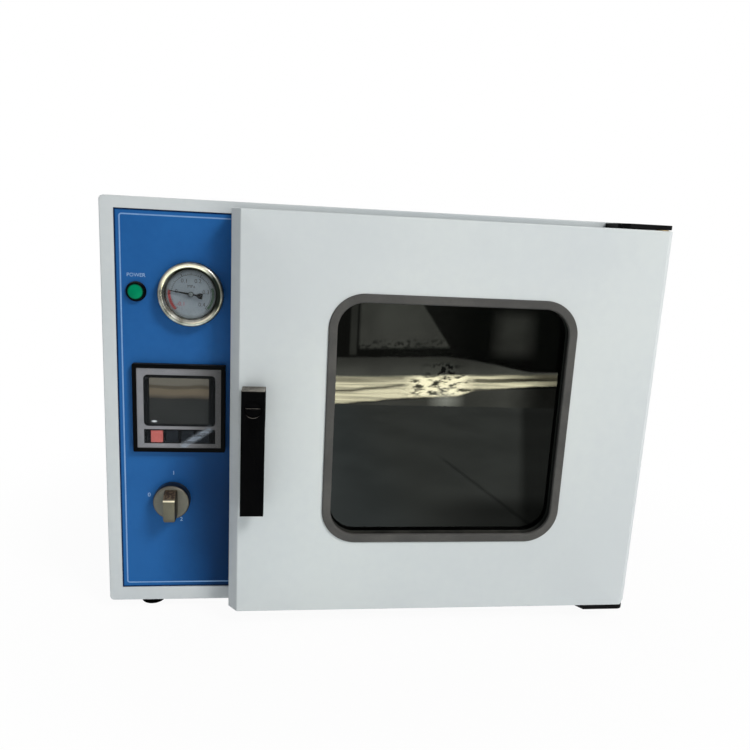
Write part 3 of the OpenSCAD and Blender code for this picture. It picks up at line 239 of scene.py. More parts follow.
def carried(profile: Sequence[tuple[float, float]], width: float, height: float, radius: float,
            centre: Sequence[float], front: float, arc: int = 14) -> Surface:
    """Closed profile carried round a rounded rectangle.

    A profile point (a, b) runs on the rectangle grown by a, at b in front of the level named front.

    Args:
        profile: (outwards, forwards) of each profile point, in order.
        width: Width of the path.
        height: Height of the path.
        radius: Corner radius of the path.
        centre: X and Z of the path's middle.
        front: Y that the profile's forwards is measured from.
        arc: Steps in each corner.

    Returns:
        The surface.
    """
    return framed([Ring(width + 2 * a, height + 2 * a, radius + a, front - b) for a, b in profile], centre,
                  arc)


def turned(profile: Sequence[tuple[float, float]], centre: Sequence[float], steps: int = 64,
           ripple: float = 0.0, lobes: int = 0) -> Surface:
    """Profile turned about an axis that points to the front.

    A profile point (r, b) goes to centre + (r cos a, -b, r sin a), where r may carry
    a ripple of its own: r (1 + ripple cos(lobes a)).

    Args:
        profile: (radius, forwards) of each profile point, in order.
        centre: X, Y and Z of the axis at forwards 0.
        steps: Steps round the axis.
        ripple: Share of the radius that the ripple adds.
        lobes: Ripples in one turn.

    Returns:
        The surface; a profile that starts or ends on the axis is closed there.
    """
    shape = np.asarray(profile, float)
    a = np.linspace(0, 2 * math.pi, steps, endpoint=False)
    r = shape[:, :1] * (1 + ripple * np.cos(lobes * a))[None, :]
    points = np.stack([r * np.cos(a), np.repeat(-shape[:, 1:], steps, axis=1), r * np.sin(a)], axis=2)
    return grid(points + np.asarray(centre, float))


def arc_points(cx: float, cy: float, radius: float, start: float, end: float, steps: int = 5) -> list:
    """Points (cx + radius cos a, cy + radius sin a) along an arc.

    Args:
        cx: First coordinate of the arc's centre.
        cy: Its second coordinate.
        radius: Radius of the arc.
        start: The angle a of the first point, in degrees.
        end: The angle of the last point.
        steps: How many points.

    Returns:
        The points as pairs.
    """
    a = np.radians(np.linspace(start, end, steps))
    return list(zip((cx + radius * np.cos(a)).tolist(), (cy + radius * np.sin(a)).tolist()))


def bars(corners: np.ndarray, back: float, front: float) -> Surface:
    """Flat four-sided prisms that stand out to the front, all in one array.

    Args:
        corners: Array of shape (count, 4, 2), X and Z of each prism's outline.
        back: Y of the prisms' rear.
        front: Y of the prisms' front.

    Returns:
        The surface.
    """
    count = len(corners)
    ys = np.array([back, front])
    points = np.empty((count, 2, 4, 3))
    points[..., 0] = corners[:, None, :, 0]
    points[..., 1] = ys[None, :, None]
    points[..., 2] = corners[:, None, :, 1]
    one = np.array([[3, 2, 1, 0], [4, 5, 6, 7], [0, 1, 5, 4], [1, 2, 6, 5], [2, 3, 7, 6], [3, 0, 4, 7]])
    faces = (np.arange(count)[:, None, None] * 8 + one[None]).reshape(-1, 4)
    return Surface(points.reshape(-1, 3), [tuple(f) for f in faces.tolist()])


def ray_bars(angles: Sequence[float], inner: float, outer: float, width: float,
             centre: Sequence[float], back: float, front: float) -> Surface:
    """Scale lines that point away from a centre.

    Args:
        angles: Direction of each line in degrees, 0 to the right, anticlockwise.
        inner: Radius where the lines start.
        outer: Radius where they end.
        width: Width of a line.
        centre: X and Z of the dial's middle.
        back: Y of the lines' rear.
        front: Y of their front.

    Returns:
        The surface.
    """
    a = np.radians(np.asarray(angles, float))[:, None]
    r = np.array([[inner, inner, outer, outer]])
    s = np.array([[-1, 1, 1, -1]]) * width / 2
    x = centre[0] + r * np.cos(a) - s * np.sin(a)
    z = centre[1] + r * np.sin(a) + s * np.cos(a)
    return bars(np.stack([x, z], axis=2), back, front)


def arc_band(start: float, end: float, inner: float, outer: float, centre: Sequence[float],
             back: float, front: float, steps: int = 60) -> Surface:
    """Part of a flat ring, as short prisms side by side.

    Args:
        start: Direction of its first end in degrees.
        end: Direction of its other end.
        inner: Its inner radius.
        outer: Its outer radius.
        centre: X and Z of the ring's middle.
        back: Y of its rear.
        front: Y of its front.
        steps: How many prisms.

    Returns:
        The surface.
    """
    a = np.radians(np.linspace(start, end, steps + 1))
    first, last = a[:-1, None], a[1:, None]
    t = np.concatenate([first, last, last, first], axis=1)
    r = np.array([[inner, inner, outer, outer]])
    x, z = centre[0] + r * np.cos(t), centre[1] + r * np.sin(t)
    return bars(np.stack([x, z], axis=2), back, front)


def lettering(words: str, height: float, middle: Point, depth: float = 0.06) -> Surface:
    """Raised generic lettering that reads from the front.

    Args:
        words: What it says.
        height: Height of the letters in millimetres.
        middle: Middle of the words in millimetres.
        depth: How far the letters stand out.

    Returns:
        The surface.
    """
    curve = bpy.data.curves.new("letters", "FONT")
    curve.body = words
    curve.align_x, curve.align_y = "CENTER", "CENTER"
    curve.size = 1.0
    curve.resolution_u = 3
    carrier = bpy.data.objects.new("letters", curve)
    bpy.context.scene.collection.objects.link(carrier)
    bpy.context.view_layer.update()
    mesh = bpy.data.meshes.new_from_object(carrier)
    flat = np.empty(len(mesh.vertices) * 3)
    mesh.vertices.foreach_get("co", flat)
    flat = flat.reshape(-1, 3) * height / 0.72
    faces = [tuple(p.vertices) for p in mesh.polygons]
    bpy.data.objects.remove(carrier)
    bpy.data.curves.remove(curve)
    bpy.data.meshes.remove(mesh)
    points = np.stack([flat[:, 0], np.full(len(flat), -depth), flat[:, 1]], axis=1)
    return Surface(points + np.asarray(middle), faces)


# ---------- Finishes ----------


@dataclass(frozen=True)
class Relief:
    """Fine unevenness of a surface.

    Attributes:
        grain_mm: Size of the grain.
        depth_mm: Height of the grain.
        wave_mm: Size of the slow waves under it, 0 for twelve times the grain.
        brushing: Direction of the lines on brushed metal.
    """

    grain_mm: float = 0.8
    depth_mm: float = 0.01
    wave_mm: float = 0.0
    brushing: Brushing = Brushing.NONE


@dataclass(frozen=True)
class Finish:
    """Look of one opaque material.

    Attributes:
        name: Name of the material.
        colour: Main colour, 0 to 255 as seen.
        second: Colour it drifts to in patches.
        gloss: Lowest and highest roughness over the surface.
        patch_mm: Size of the patches.
        metallic: 1 for bare metal, 0 for the rest.
        relief: Fine unevenness.
        worn: Colour that shows along worn edges.
        wear: How much of the edges is worn, 0 to 1.
        dust_and_top_light: Share of upward faces under a pale film, 0 to 1: dust, and on the grip a painted
            highlight.
        specular: Level of the plain reflection.
        slot: The record's material slot.
    """

    name: str
    colour: Colour
    second: Colour
    gloss: tuple[float, float] = (0.4, 0.55)
    patch_mm: float = 60.0
    metallic: float = 0.0
    relief: Relief = field(default_factory=Relief)
    worn: Colour = (150, 150, 148)
    wear: float = 0.0
    dust_and_top_light: float = 0.0
    specular: float = 0.5
    slot: str = ""


@dataclass(frozen=True)
class Glass:
    """Look of a pane or lens that lets light through.

    Attributes:
        name: Name of the material.
        tint: Colour of the light that comes through, 0 to 255 as seen.
        ior: Index of refraction.
        gloss: Lowest and highest roughness over the surface.
        slot: The record's material slot.
    """

    name: str
    tint: Colour
    ior: float = 1.45
    gloss: tuple[float, float] = (0.0, 0.03)
    slot: str = ""


def linear(colour: Colour) -> tuple[float, float, float, float]:
    """Returns a colour of 0 to 255 as the linear values that the shaders take, with alpha 1."""
    c = np.asarray(colour, float) / 255
    out = np.where(c <= 0.04045, c / 12.92, ((c + 0.055) / 1.055) ** 2.4)
    return (*out.tolist(), 1.0)


@dataclass
class NodeSheet:
    """Puts nodes into one node tree and wires them by socket name.

    Attributes:
        tree: The tree the nodes go into.
    """

    tree: bpy.types.NodeTree

    def put(self, kind: str, inputs: dict | None = None, **settings: object) -> bpy.types.Node:
        """Adds one node.

        Args:
            kind: Node type without its ShaderNode prefix.
            inputs: Socket name or number to a value, or to the output socket that feeds it.
            **settings: Properties of the node.

        Returns:
            The node.
        """
        node = self.tree.nodes.new("ShaderNode" + kind)
        for key, value in settings.items():
            setattr(node, key, value)
        for key, value in (inputs or {}).items():
            self.feed(node.inputs[key], value)
        return node

    def feed(self, socket: Socket, value: object) -> None:
        """Sets a socket to a value, or links it to the socket given."""
        if isinstance(value, Socket):
            self.tree.links.new(value, socket)
        else:
            socket.default_value = value

    def maths(self, operation: str, *values: object, clamp: bool = False) -> Socket:
        """Returns the output of a Math node on the values."""
        return self.put("Math", dict(enumerate(values)), operation=operation, use_clamp=clamp).outputs[0]

    def times(self, *factors: object) -> Socket:
        """Returns the product of the factors, multiplied in turn."""
        return reduce(partial(self.maths, "MULTIPLY"), factors)

    def plus(self, *terms: object) -> Socket:
        """Returns the sum of the terms, added in turn."""
        return reduce(partial(self.maths, "ADD"), terms)

    def minus(self, a: object, b: object) -> Socket:
        """Returns a less b."""
        return self.maths("SUBTRACT", a, b)

    def spared(self, mask: object, share: float) -> Socket:
        """Returns 1 where the mask is 0, and 1 less the share where it is 1."""
        return self.minus(1.0, self.times(mask, share))

    def vector(self, operation: str, *values: object) -> Socket:
        """Returns the output of a Vector Math node, a number for a length or a distance."""
        node = self.put("VectorMath", dict(enumerate(values)), operation=operation)
        return node.outputs["Value" if operation in ("LENGTH", "DISTANCE") else "Vector"]

    def glow(self, colour: object, strength: object) -> Socket:
        """Returns a shader that gives off light."""
        return self.put("Emission", {"Color": colour, "Strength": strength}).outputs[0]

    def show(self, shader: object) -> None:
        """Makes a shader the surface of the sheet's material."""
        self.feed(self.tree.nodes["Material Output"].inputs["Surface"], shader)

    def off_axis(self, place: object, centre: Point) -> Socket:
        """Returns the way from an axis along Y through the centre to the place."""
        return self.vector("MULTIPLY", self.vector("SUBTRACT", place, centre), (1.0, 0.0, 1.0))

    def seen(self) -> Socket:
        """Returns 1 for rays from the camera, from mirrors and through glass, and 0 for the others."""
        path = self.put("LightPath").outputs
        seen = self.maths("MAXIMUM", path["Is Camera Ray"], path["Is Glossy Ray"])
        return self.maths("MAXIMUM", seen, path["Is Transmission Ray"])

    def parts(self, vector: object) -> bpy.types.bpy_prop_collection:
        """Returns the X, Y and Z outputs of a vector."""
        return self.put("SeparateXYZ", {0: vector}).outputs

    def ramp(self, value: object, low: float, high: float, to_low: float = 0.0,
             to_high: float = 1.0) -> Socket:
        """Stretches a value smoothly, and clamps it.

        Args:
            value: Socket to look at.
            low: Value that gives to_low, as does anything beyond it.
            high: Value that gives to_high, as does anything beyond it.
            to_low: Result at low.
            to_high: Result at high.

        Returns:
            The result.
        """
        node = self.put("MapRange", {"Value": value, "From Min": low, "From Max": high, "To Min": to_low,
                                     "To Max": to_high}, interpolation_type="SMOOTHSTEP")
        return node.outputs["Result"]

    def window(self, value: object, low: object, high: object, soft: float) -> Socket:
        """Returns 1 where value lies between low and high, fading over soft at either end.

        Args:
            value: Socket to look at.
            low: Lower limit, a value or a socket.
            high: Upper limit, a value or a socket.
            soft: Length of the fade.
        """
        over = self.maths("MULTIPLY_ADD", self.minus(value, low), 1 / soft, 0.5, clamp=True)
        under = self.maths("MULTIPLY_ADD", self.minus(high, value), 1 / soft, 0.5, clamp=True)
        return self.times(over, under)

    def noise(self, vector: object, scale: object, detail: float = 3.0, rough: float = 0.5) -> Socket:
        """Places a noise pattern.

        Args:
            vector: Coordinates.
            scale: Waves per unit of the coordinates.
            detail: Layers of finer waves.
            rough: Strength of each finer layer next to the one before.

        Returns:
            The pattern's value, 0 to 1.
        """
        node = self.put("TexNoise", {"Vector": vector, "Scale": scale, "Detail": detail, "Roughness": rough})
        return node.outputs["Fac"]

    def blend(self, factor: object, a: object, b: object, kind: str = "MIX") -> Socket:
        """Mixes two colours.

        Args:
            factor: Share of the second, 0 to 1.
            a: The first colour.
            b: The second colour.
            kind: How they are mixed.

        Returns:
            The colour.
        """
        node = self.put("Mix", {0: factor, 6: a, 7: b}, data_type="RGBA", blend_type=kind)
        return node.outputs[2]

    def group(self, tree: bpy.types.NodeTree, **inputs: object) -> bpy.types.Node:
        """Adds a shared effect and feeds its inputs by name."""
        node = self.put("Group", node_tree=tree)
        for key, value in inputs.items():
            self.feed(node.inputs[key.replace("_", " ")], value)
        return node


class EffectBook:
    """Shared effects, each a node group that is built once and placed in many materials."""

    @staticmethod
    def _start(name: str, ins: dict[str, str], out: tuple[str, str]) -> tuple[NodeSheet, dict, object]:
        """Makes an empty group.

        Args:
            name: Name of the group.
            ins: Input name to its kind: Float, Vector or Color.
            out: Name and kind of the output.

        Returns:
            The sheet to build on, the input sockets by name, and the output socket.
        """
        tree = bpy.data.node_groups.new(name, "ShaderNodeTree")
        for label, kind in ins.items():
            tree.interface.new_socket(label, in_out="INPUT", socket_type="NodeSocket" + kind)
        tree.interface.new_socket(out[0], in_out="OUTPUT", socket_type="NodeSocket" + out[1])
        start, end = tree.nodes.new("NodeGroupInput"), tree.nodes.new("NodeGroupOutput")
        return NodeSheet(tree), {k: start.outputs[k] for k in ins}, end.inputs[0]

    @cache
    def tint(self) -> bpy.types.NodeTree:
        """Colour that drifts between two tones in soft patches with finer specks in them."""
        ins = {"Vector": "Vector", "Patch": "Float", "Colour": "Color", "Second": "Color"}
        sheet, i, end = self._start("tone_drift", ins, ("Colour", "Color"))
        slow = sheet.noise(i["Vector"], i["Patch"], 3.0)
        fine = sheet.noise(i["Vector"], sheet.times(i["Patch"], 17.0), 2.0)
        both = sheet.maths("MULTIPLY_ADD", slow, 0.78, sheet.times(fine, 0.22))
        sheet.feed(end, sheet.blend(sheet.ramp(both, 0.34, 0.66), i["Colour"], i["Second"]))
        return sheet.tree

    @cache
    def relief(self) -> bpy.types.NodeTree:
        """Height of a fine grain over slow waves; a stretched vector turns the grain into lines."""
        ins = {"Vector": "Vector", "Stretch": "Vector", "Grain": "Float", "Wave": "Float"}
        sheet, i, end = self._start("fine_relief", ins, ("Height", "Float"))
        pulled = sheet.vector("MULTIPLY", i["Vector"], i["Stretch"])
        grain = sheet.noise(pulled, i["Grain"], 4.0, 0.6)
        wave = sheet.noise(i["Vector"], i["Wave"], 2.0)
        sheet.feed(end, sheet.plus(grain, sheet.times(wave, 1.6)))
        return sheet.tree

    @cache
    def handling(self) -> bpy.types.NodeTree:
        """Roughness between two values: cloudy, with smears where hands and cloths have been."""
        ins = {"Vector": "Vector", "Stretch": "Vector", "Low": "Float", "High": "Float"}
        sheet, i, end = self._start("handling_marks", ins, ("Roughness", "Float"))
        pulled = sheet.vector("MULTIPLY", i["Vector"], i["Stretch"])
        cloud = sheet.noise(i["Vector"], 18.0, 4.0, 0.62)
        lines = sheet.noise(pulled, 620.0, 2.0)
        share = sheet.plus(sheet.ramp(cloud, 0.32, 0.7, 0.0, 0.7), sheet.times(lines, 0.3))
        span = sheet.minus(i["High"], i["Low"])
        sheet.feed(end, sheet.plus(i["Low"], sheet.times(share, span)))
        return sheet.tree

    @cache
    def wear(self) -> bpy.types.NodeTree:
        """Mask of sharp outer edges, broken up by noise, where a finish has rubbed off."""
        ins = {"Vector": "Vector", "Amount": "Float"}
        sheet, i, end = self._start("edge_wear", ins, ("Mask", "Float"))
        edge = sheet.put("NewGeometry").outputs["Pointiness"]
        sharp = sheet.ramp(edge, 0.53, 0.62)
        broken = sheet.ramp(sheet.noise(i["Vector"], 140.0, 5.0, 0.7), 0.45, 0.62)
        sheet.feed(end, sheet.maths("MULTIPLY", sheet.times(sharp, broken), i["Amount"], clamp=True))
        return sheet.tree

    @cache
    def dust_and_top_light(self) -> bpy.types.NodeTree:
        """Mask of faces that look up, in soft patches: where dust settles, and on the grip a painted
        highlight.
        """
        ins = {"Vector": "Vector", "Amount": "Float"}
        sheet, i, end = self._start("settled_dust_and_top_light", ins, ("Mask", "Float"))
        normal = sheet.put("NewGeometry").outputs["Normal"]
        up = sheet.parts(normal)["Z"]
        patchy = sheet.ramp(sheet.noise(i["Vector"], 26.0, 6.0, 0.68), 0.3, 0.75)
        mask = sheet.times(sheet.ramp(up, 0.55, 0.98), patchy)
        sheet.feed(end, sheet.maths("MULTIPLY", mask, i["Amount"], clamp=True))
        return sheet.tree


# Pale colour of settled dust; on the black grip it also paints the highlight on the top face.
DUST_AND_TOP_LIGHT_COLOUR: Colour = (196, 192, 184)


class MaterialShelf:
    """Makes each finish into a material once and hands it out by name."""

    def __init__(self) -> None:
        """Starts with an empty shelf and its own book of effects."""
        self.effects = EffectBook()
        self._made: dict[str, bpy.types.Material] = {}

    def get(self, finish: "Look") -> bpy.types.Material:
        """Returns the material of a finish, and makes it the first time."""
        if finish.name not in self._made:
            if isinstance(finish, Glass):
                self._made[finish.name] = self._glass(finish)
            elif isinstance(finish, Special):
                self._made[finish.name] = finish.make(self)
            else:
                self._made[finish.name] = self.solid(finish)
        return self._made[finish.name]

    def drift(self, sheet: NodeSheet, place: object, finish: Finish, patch: float = 0.0) -> Socket:
        """Places the finish's own two tones on a sheet.

        Args:
            sheet: Where the nodes go.
            place: Coordinates in metres.
            finish: The finish.
            patch: Patches per metre, or 0 for the finish's own.

        Returns:
            The colour.
        """
        return sheet.group(self.effects.tint(), Vector=place, Patch=patch or 1000 / finish.patch_mm,
                           Colour=linear(finish.colour), Second=linear(finish.second)).outputs[0]

    @staticmethod
    def blank(name: str) -> tuple[bpy.types.Material, NodeSheet, bpy.types.Node, Socket]:
        """Makes a material with a Principled shader and Object coordinates.

        Args:
            name: Name of the material.

        Returns:
            The material, its sheet, the shader and the coordinate socket.
        """
        material = bpy.data.materials.new(name)
        material.use_nodes = True
        sheet = NodeSheet(material.node_tree)
        shader = material.node_tree.nodes["Principled BSDF"]
        place = sheet.put("TexCoord").outputs["Object"]
        return material, sheet, shader, place

    def solid(self, finish: Finish, colour: Callable | None = None) -> bpy.types.Material:
        """Makes an opaque finish.

        Args:
            finish: The finish.
            colour: A function of the sheet and the coordinates that gives the base colour socket,
                or None for the finish's own two tones.

        Returns:
            The material.
        """
        material, sheet, shader, place = self.blank(finish.name)
        book = self.effects
        tone = colour(sheet, place) if colour else self.drift(sheet, place, finish)
        stretch = finish.relief.brushing.value
        rough = sheet.group(book.handling(), Vector=place, Stretch=stretch, Low=finish.gloss[0],
                            High=finish.gloss[1]).outputs[0]
        if finish.wear > 0:
            bare = sheet.group(book.wear(), Vector=place, Amount=finish.wear).outputs[0]
            tone = sheet.blend(bare, tone, linear(finish.worn))
            rough = sheet.maths("MULTIPLY_ADD", bare, -0.12, rough)
        # Pale film on upward faces: dust, and on the grip a painted highlight.
        if finish.dust_and_top_light > 0:
            film = sheet.group(book.dust_and_top_light(), Vector=place, Amount=finish.dust_and_top_light).outputs[0]
            tone = sheet.blend(film, tone, linear(DUST_AND_TOP_LIGHT_COLOUR))
            rough = sheet.maths("ADD", rough, sheet.times(film, 0.3), clamp=True)
        wave = finish.relief.wave_mm or 12 * finish.relief.grain_mm
        height = sheet.group(book.relief(), Vector=place, Stretch=stretch,
                             Grain=1000 / finish.relief.grain_mm, Wave=1000 / wave).outputs[0]
        bump = sheet.put("Bump", {"Height": height, "Distance": finish.relief.depth_mm * MM, "Strength": 1.0})
        for socket, value in {"Base Color": tone, "Roughness": rough, "Metallic": finish.metallic,
                              "Normal": bump.outputs[0], "Specular IOR Level": finish.specular}.items():
            sheet.feed(shader.inputs[socket], value)
        return material

    def _glass(self, glass: Glass) -> bpy.types.Material:
        """Makes a see-through finish; rays from lamps pass it straight, so what is behind it is lit."""
        material, sheet, shader, place = self.blank(glass.name)
        rough = sheet.group(self.effects.handling(), Vector=place, Stretch=Brushing.NONE.value,
                            Low=glass.gloss[0], High=glass.gloss[1]).outputs[0]
        tone = sheet.group(self.effects.tint(), Vector=place, Patch=12.0, Colour=linear(glass.tint),
                           Second=linear(tuple(0.94 * c for c in glass.tint))).outputs[0]
        for socket, value in {"Base Color": tone, "Roughness": rough, "IOR": glass.ior,
                              "Transmission Weight": 1.0}.items():
            sheet.feed(shader.inputs[socket], value)
        clear = sheet.put("BsdfTransparent", {"Color": linear(glass.tint)}).outputs[0]
        shadow = sheet.put("LightPath").outputs["Is Shadow Ray"]
        mixed = sheet.put("MixShader", {0: shadow, 1: shader.outputs[0], 2: clear})
        sheet.show(mixed.outputs[0])
        return material


class Special:
    """A finish that needs a pattern of its own; make() returns its material."""

    def make(self, shelf: MaterialShelf) -> bpy.types.Material:
        """Returns the material."""
        raise NotImplementedError


Look = Finish | Glass | Special


@dataclass(frozen=True)
class Toned(Special):
    """An opaque finish whose colour follows a rule of its own, given by tone().

    Attributes:
        name: Name of the material.
        base: The finish that it starts from.
    """

    name: str
    base: Finish

    @property
    def slot(self) -> str:
        """The record's material slot."""
        return self.base.slot

    def tone(self, shelf: MaterialShelf, sheet: NodeSheet, place: object) -> Socket:
        """Places the colour's nodes.

        Args:
            shelf: The shelf with the shared effects.
            sheet: Where the nodes go.
            place: Coordinates in metres.

        Returns:
            The colour.
        """
        raise NotImplementedError

    def make(self, shelf: MaterialShelf) -> bpy.types.Material:
        """Returns the material."""
        return shelf.solid(replace(self.base, name=self.name), partial(self.tone, shelf))


@dataclass(frozen=True)
class DialWithPaintedShade(Toned):
    """Dial plate with painted shade: it grows darker towards its rim, where the bezel shades it.

    Attributes:
        centre: Middle of the dial in metres.
        radius: Radius of the dial in metres.
    """

    centre: Point
    radius: float

    def tone(self, shelf: MaterialShelf, sheet: NodeSheet, place: object) -> Socket:
        """Returns the plate's colour with the bezel's painted shade, from the distance to its middle."""
        away = sheet.vector("DISTANCE", place, self.centre)
        # Painted shade of the bezel over the dial's outer part.
        rim = sheet.ramp(away, self.radius * 0.72, self.radius * 1.02)
        return sheet.blend(rim, shelf.drift(sheet, place, self.base, 60.0), linear((66, 69, 66)))


@dataclass(frozen=True)
class RubberWithPaintedShade(Toned):
    """Moulding rubber with painted shade down in its neck.

    Attributes:
        mouth: Y in metres behind which the painted shade begins.
    """

    mouth: float

    def tone(self, shelf: MaterialShelf, sheet: NodeSheet, place: object) -> Socket:
        """Returns the rubber's colour: grey, then painted shade behind the mouth, a black line and then dark
        grey.
        """
        level = sheet.parts(place)["Y"]
        # Painted shade: black just behind the mouth, dark grey further in the neck.
        deep = sheet.ramp(level, self.mouth, self.mouth + 1.2 * MM)
        neck = sheet.ramp(level, self.mouth + 2 * MM, self.mouth + 5 * MM)
        black = sheet.blend(neck, linear((9, 9, 10)), linear((27, 30, 28)))
        return sheet.blend(deep, shelf.drift(sheet, place, self.base, 28.0), black)


@dataclass(frozen=True)
class PanelWithPaintedShade(Toned):
    """Panel paint with painted shade: a dark line in the gap along the frame round it, and the door's painted
    shadow low down towards the door.

    Attributes:
        low: X and Z of the visible field's lower left corner in metres.
        high: X and Z of its upper right corner.
        gap: Width of the painted shade line in metres.
    """

    low: tuple[float, float]
    high: tuple[float, float]
    gap: float = 2.6 * MM

    def tone(self, shelf: MaterialShelf, sheet: NodeSheet, place: object) -> Socket:
        """Returns the panel's colour with its painted shade, from the distances to the field's sides."""
        part = sheet.parts(place)
        left = sheet.minus(part["X"], self.low[0])
        down = sheet.minus(part["Z"], self.low[1])
        up = sheet.minus(self.high[1], part["Z"])
        near = sheet.maths("MINIMUM", left, sheet.maths("MINIMUM", down, up))
        # Painted shadow of the door, low down towards the door.
        low = sheet.times(sheet.ramp(left, 0.03, 0.12), sheet.ramp(down, 0.3, 0.1))
        plain = shelf.drift(sheet, place, self.base, 9.0)
        plain = sheet.blend(sheet.times(low, 0.8), plain, linear((4, 38, 78)))
        # Painted shade in the gap along the frame.
        return sheet.blend(sheet.ramp(near, self.gap, 0.35 * self.gap), plain, linear((9, 32, 66)))


@dataclass(frozen=True)
class RingWithPaintedLight(Toned):
    """Plated ring with painted light round its axis: a painted sheen in bright and dim sectors, painted
    highlights and painted shade.

    Attributes:
        centre: Middle of the ring in metres.
    """

    centre: Point

    def tone(self, shelf: MaterialShelf, sheet: NodeSheet, place: object) -> Socket:
        """Returns the plating's colour with its painted light, from the turn about the axis and the distance
        to it.
        """
        flat = sheet.off_axis(place, self.centre)
        way, far = sheet.vector("NORMALIZE", flat), sheet.vector("LENGTH", flat)
        side = sheet.parts(way)
        turn = sheet.maths("ARCTAN2", side["Z"], side["X"])
        # Painted sheen: bright and dim sectors that follow the direction round the axis.
        lines = sheet.ramp(sheet.noise(way, 2.2, 2.0), 0.35, 0.65)
        body = sheet.blend(lines, linear((158, 158, 152)), linear((116, 114, 106)))
        # Each painted highlight or painted shade: its ends and fade in radians, its place across the ring,
        # its colour.
        for start, end, fade, across, colour in (
            (0.95, 2.85, 0.35, sheet.window(far, 30.2 * MM, 33.5 * MM, MM), (252, 246, 220)),
            (-1.65, -0.7, 0.4, sheet.window(far, 30.6 * MM, 32.6 * MM, MM), (214, 208, 190)),
            (-0.95, 2.4, 0.5, sheet.ramp(far, 30.4 * MM, 29.4 * MM), (34, 36, 26)),
            (-0.6, 0.85, 0.4, sheet.ramp(far, 34.2 * MM, 32.6 * MM), (30, 36, 32)),
        ):
            share = sheet.times(sheet.window(turn, start, end, fade), across)
            body = sheet.blend(share, body, linear(colour))
        return body


@dataclass(frozen=True)
class CreasedFilm(Special):
    """Clear protective film with pale creases that run aslant and one painted highlight.

    Attributes:
        name: Name of the material.
        slot: The record's material slot.
        fold: X and Z in metres of both ends of the widest crease.
        glint_spot: X and Z in metres of a painted highlight.
    """

    name: str
    slot: str
    fold: tuple[tuple[float, float], tuple[float, float]]
    glint_spot: tuple[float, float]

    def make(self, shelf: MaterialShelf) -> bpy.types.Material:
        """Returns the material: alpha is high along the fold, on the painted highlight and on stretched
        noise.
        """
        material, sheet, shader, place = shelf.blank(self.name)
        (ax, az), (bx, bz) = self.fold
        lean = math.atan2(bz - az, bx - ax)
        along = sheet.put("Mapping", {"Vector": place, "Rotation": (0.0, lean, 0.0),
                                      "Scale": (26.0, 1.0, 240.0)}).outputs[0]
        streak = sheet.noise(along, 1.0, 4.0, 0.55)
        part = sheet.parts(place)
        x, z = sheet.minus(part["X"], ax), sheet.minus(part["Z"], az)
        cos, sin = math.cos(lean), math.sin(lean)
        run = sheet.plus(sheet.times(x, cos), sheet.times(z, sin))
        off = sheet.minus(sheet.times(z, cos), sheet.times(x, sin))
        length = math.hypot(bx - ax, bz - az)
        fold = sheet.times(sheet.window(off, -3.6 * MM, 3.6 * MM, 3 * MM),
                           sheet.window(run, -2 * MM, length, 4 * MM))
        fold = sheet.times(fold, sheet.ramp(streak, 0.3, 0.62, 0.3, 1.0))
        # Painted highlight: a pale spot round glint_spot.
        spot = sheet.vector("SUBTRACT", place, (self.glint_spot[0], 0.0, self.glint_spot[1]))
        flat = sheet.vector("MULTIPLY", spot, (0.55, 0.0, 1.3))
        lift = sheet.ramp(sheet.vector("LENGTH", flat), 2.6 * MM, 0.6 * MM)
        wisps = sheet.times(sheet.ramp(streak, 0.6, 0.78),
                            sheet.ramp(sheet.noise(place, 60.0, 2.0), 0.5, 0.68))
        total = sheet.plus(sheet.times(fold, 0.6), sheet.times(wisps, 0.3))
        total = sheet.maths("ADD", sheet.plus(total, sheet.times(lift, 0.85)), 0.02, clamp=True)
        tone = sheet.group(shelf.effects.tint(), Vector=place, Patch=80.0, Colour=linear((176, 188, 202)),
                           Second=linear((150, 162, 178))).outputs[0]
        rough = sheet.group(shelf.effects.handling(), Vector=place, Stretch=Brushing.NONE.value, Low=0.14,
                            High=0.32).outputs[0]
        bump = sheet.put("Bump", {"Height": streak, "Distance": 0.4 * MM, "Strength": 0.6})
        # The painted highlight turns the film pale.
        tone = sheet.blend(lift, tone, linear((232, 236, 240)))
        for socket, value in {"Alpha": total, "Base Color": tone, "Roughness": rough,
                              "Normal": bump.outputs[0], "Specular IOR Level": 0.2}.items():
            sheet.feed(shader.inputs[socket], value)
        return material


@dataclass(frozen=True)
class Graded(Toned):
    """A finish whose tone drifts to another colour along one axis.

    Attributes:
        far: Colour at the far end, 0 to 255 as seen.
        axis: "X" or "Z".
        span: Where the drift starts and ends, in metres.
    """

    far: Colour
    axis: str
    span: tuple[float, float]

    def tone(self, shelf: MaterialShelf, sheet: NodeSheet, place: object) -> Socket:
        """Returns the drifting colour."""
        share = sheet.ramp(sheet.parts(place)[self.axis], *self.span)
        return sheet.blend(share, shelf.drift(sheet, place, self.base), linear(self.far))


@dataclass(frozen=True)
class DisplayWithPaintedReflection(Toned):
    """Grey display glass with a painted brown reflection over its upper part.

    Attributes:
        low: Z of the glass's lower edge in metres.
        high: Z of its upper edge in metres.
    """

    low: float
    high: float

    def tone(self, shelf: MaterialShelf, sheet: NodeSheet, place: object) -> Socket:
        """Returns the glass's colour with painted reflection bands; they follow the share of the height, with
        a slow wobble.
        """
        share = sheet.ramp(sheet.parts(place)["Z"], self.low, self.high)
        share = sheet.plus(share, sheet.ramp(sheet.noise(place, 30.0, 2.0), 0.3, 0.7, -0.015, 0.015))
        plain = shelf.drift(sheet, place, self.base, 33.0)
        # Painted reflection: a brown band, a paler top and a dark line between them.
        painted_reflection = sheet.blend(sheet.window(share, 0.72, 0.86, 0.3), plain, linear((138, 126, 106)))
        painted_reflection = sheet.blend(sheet.ramp(share, 0.92, 0.96), painted_reflection, linear((104, 102, 94)))
        return sheet.blend(sheet.window(share, 0.88, 0.91, 0.04), painted_reflection, linear((72, 69, 60)))


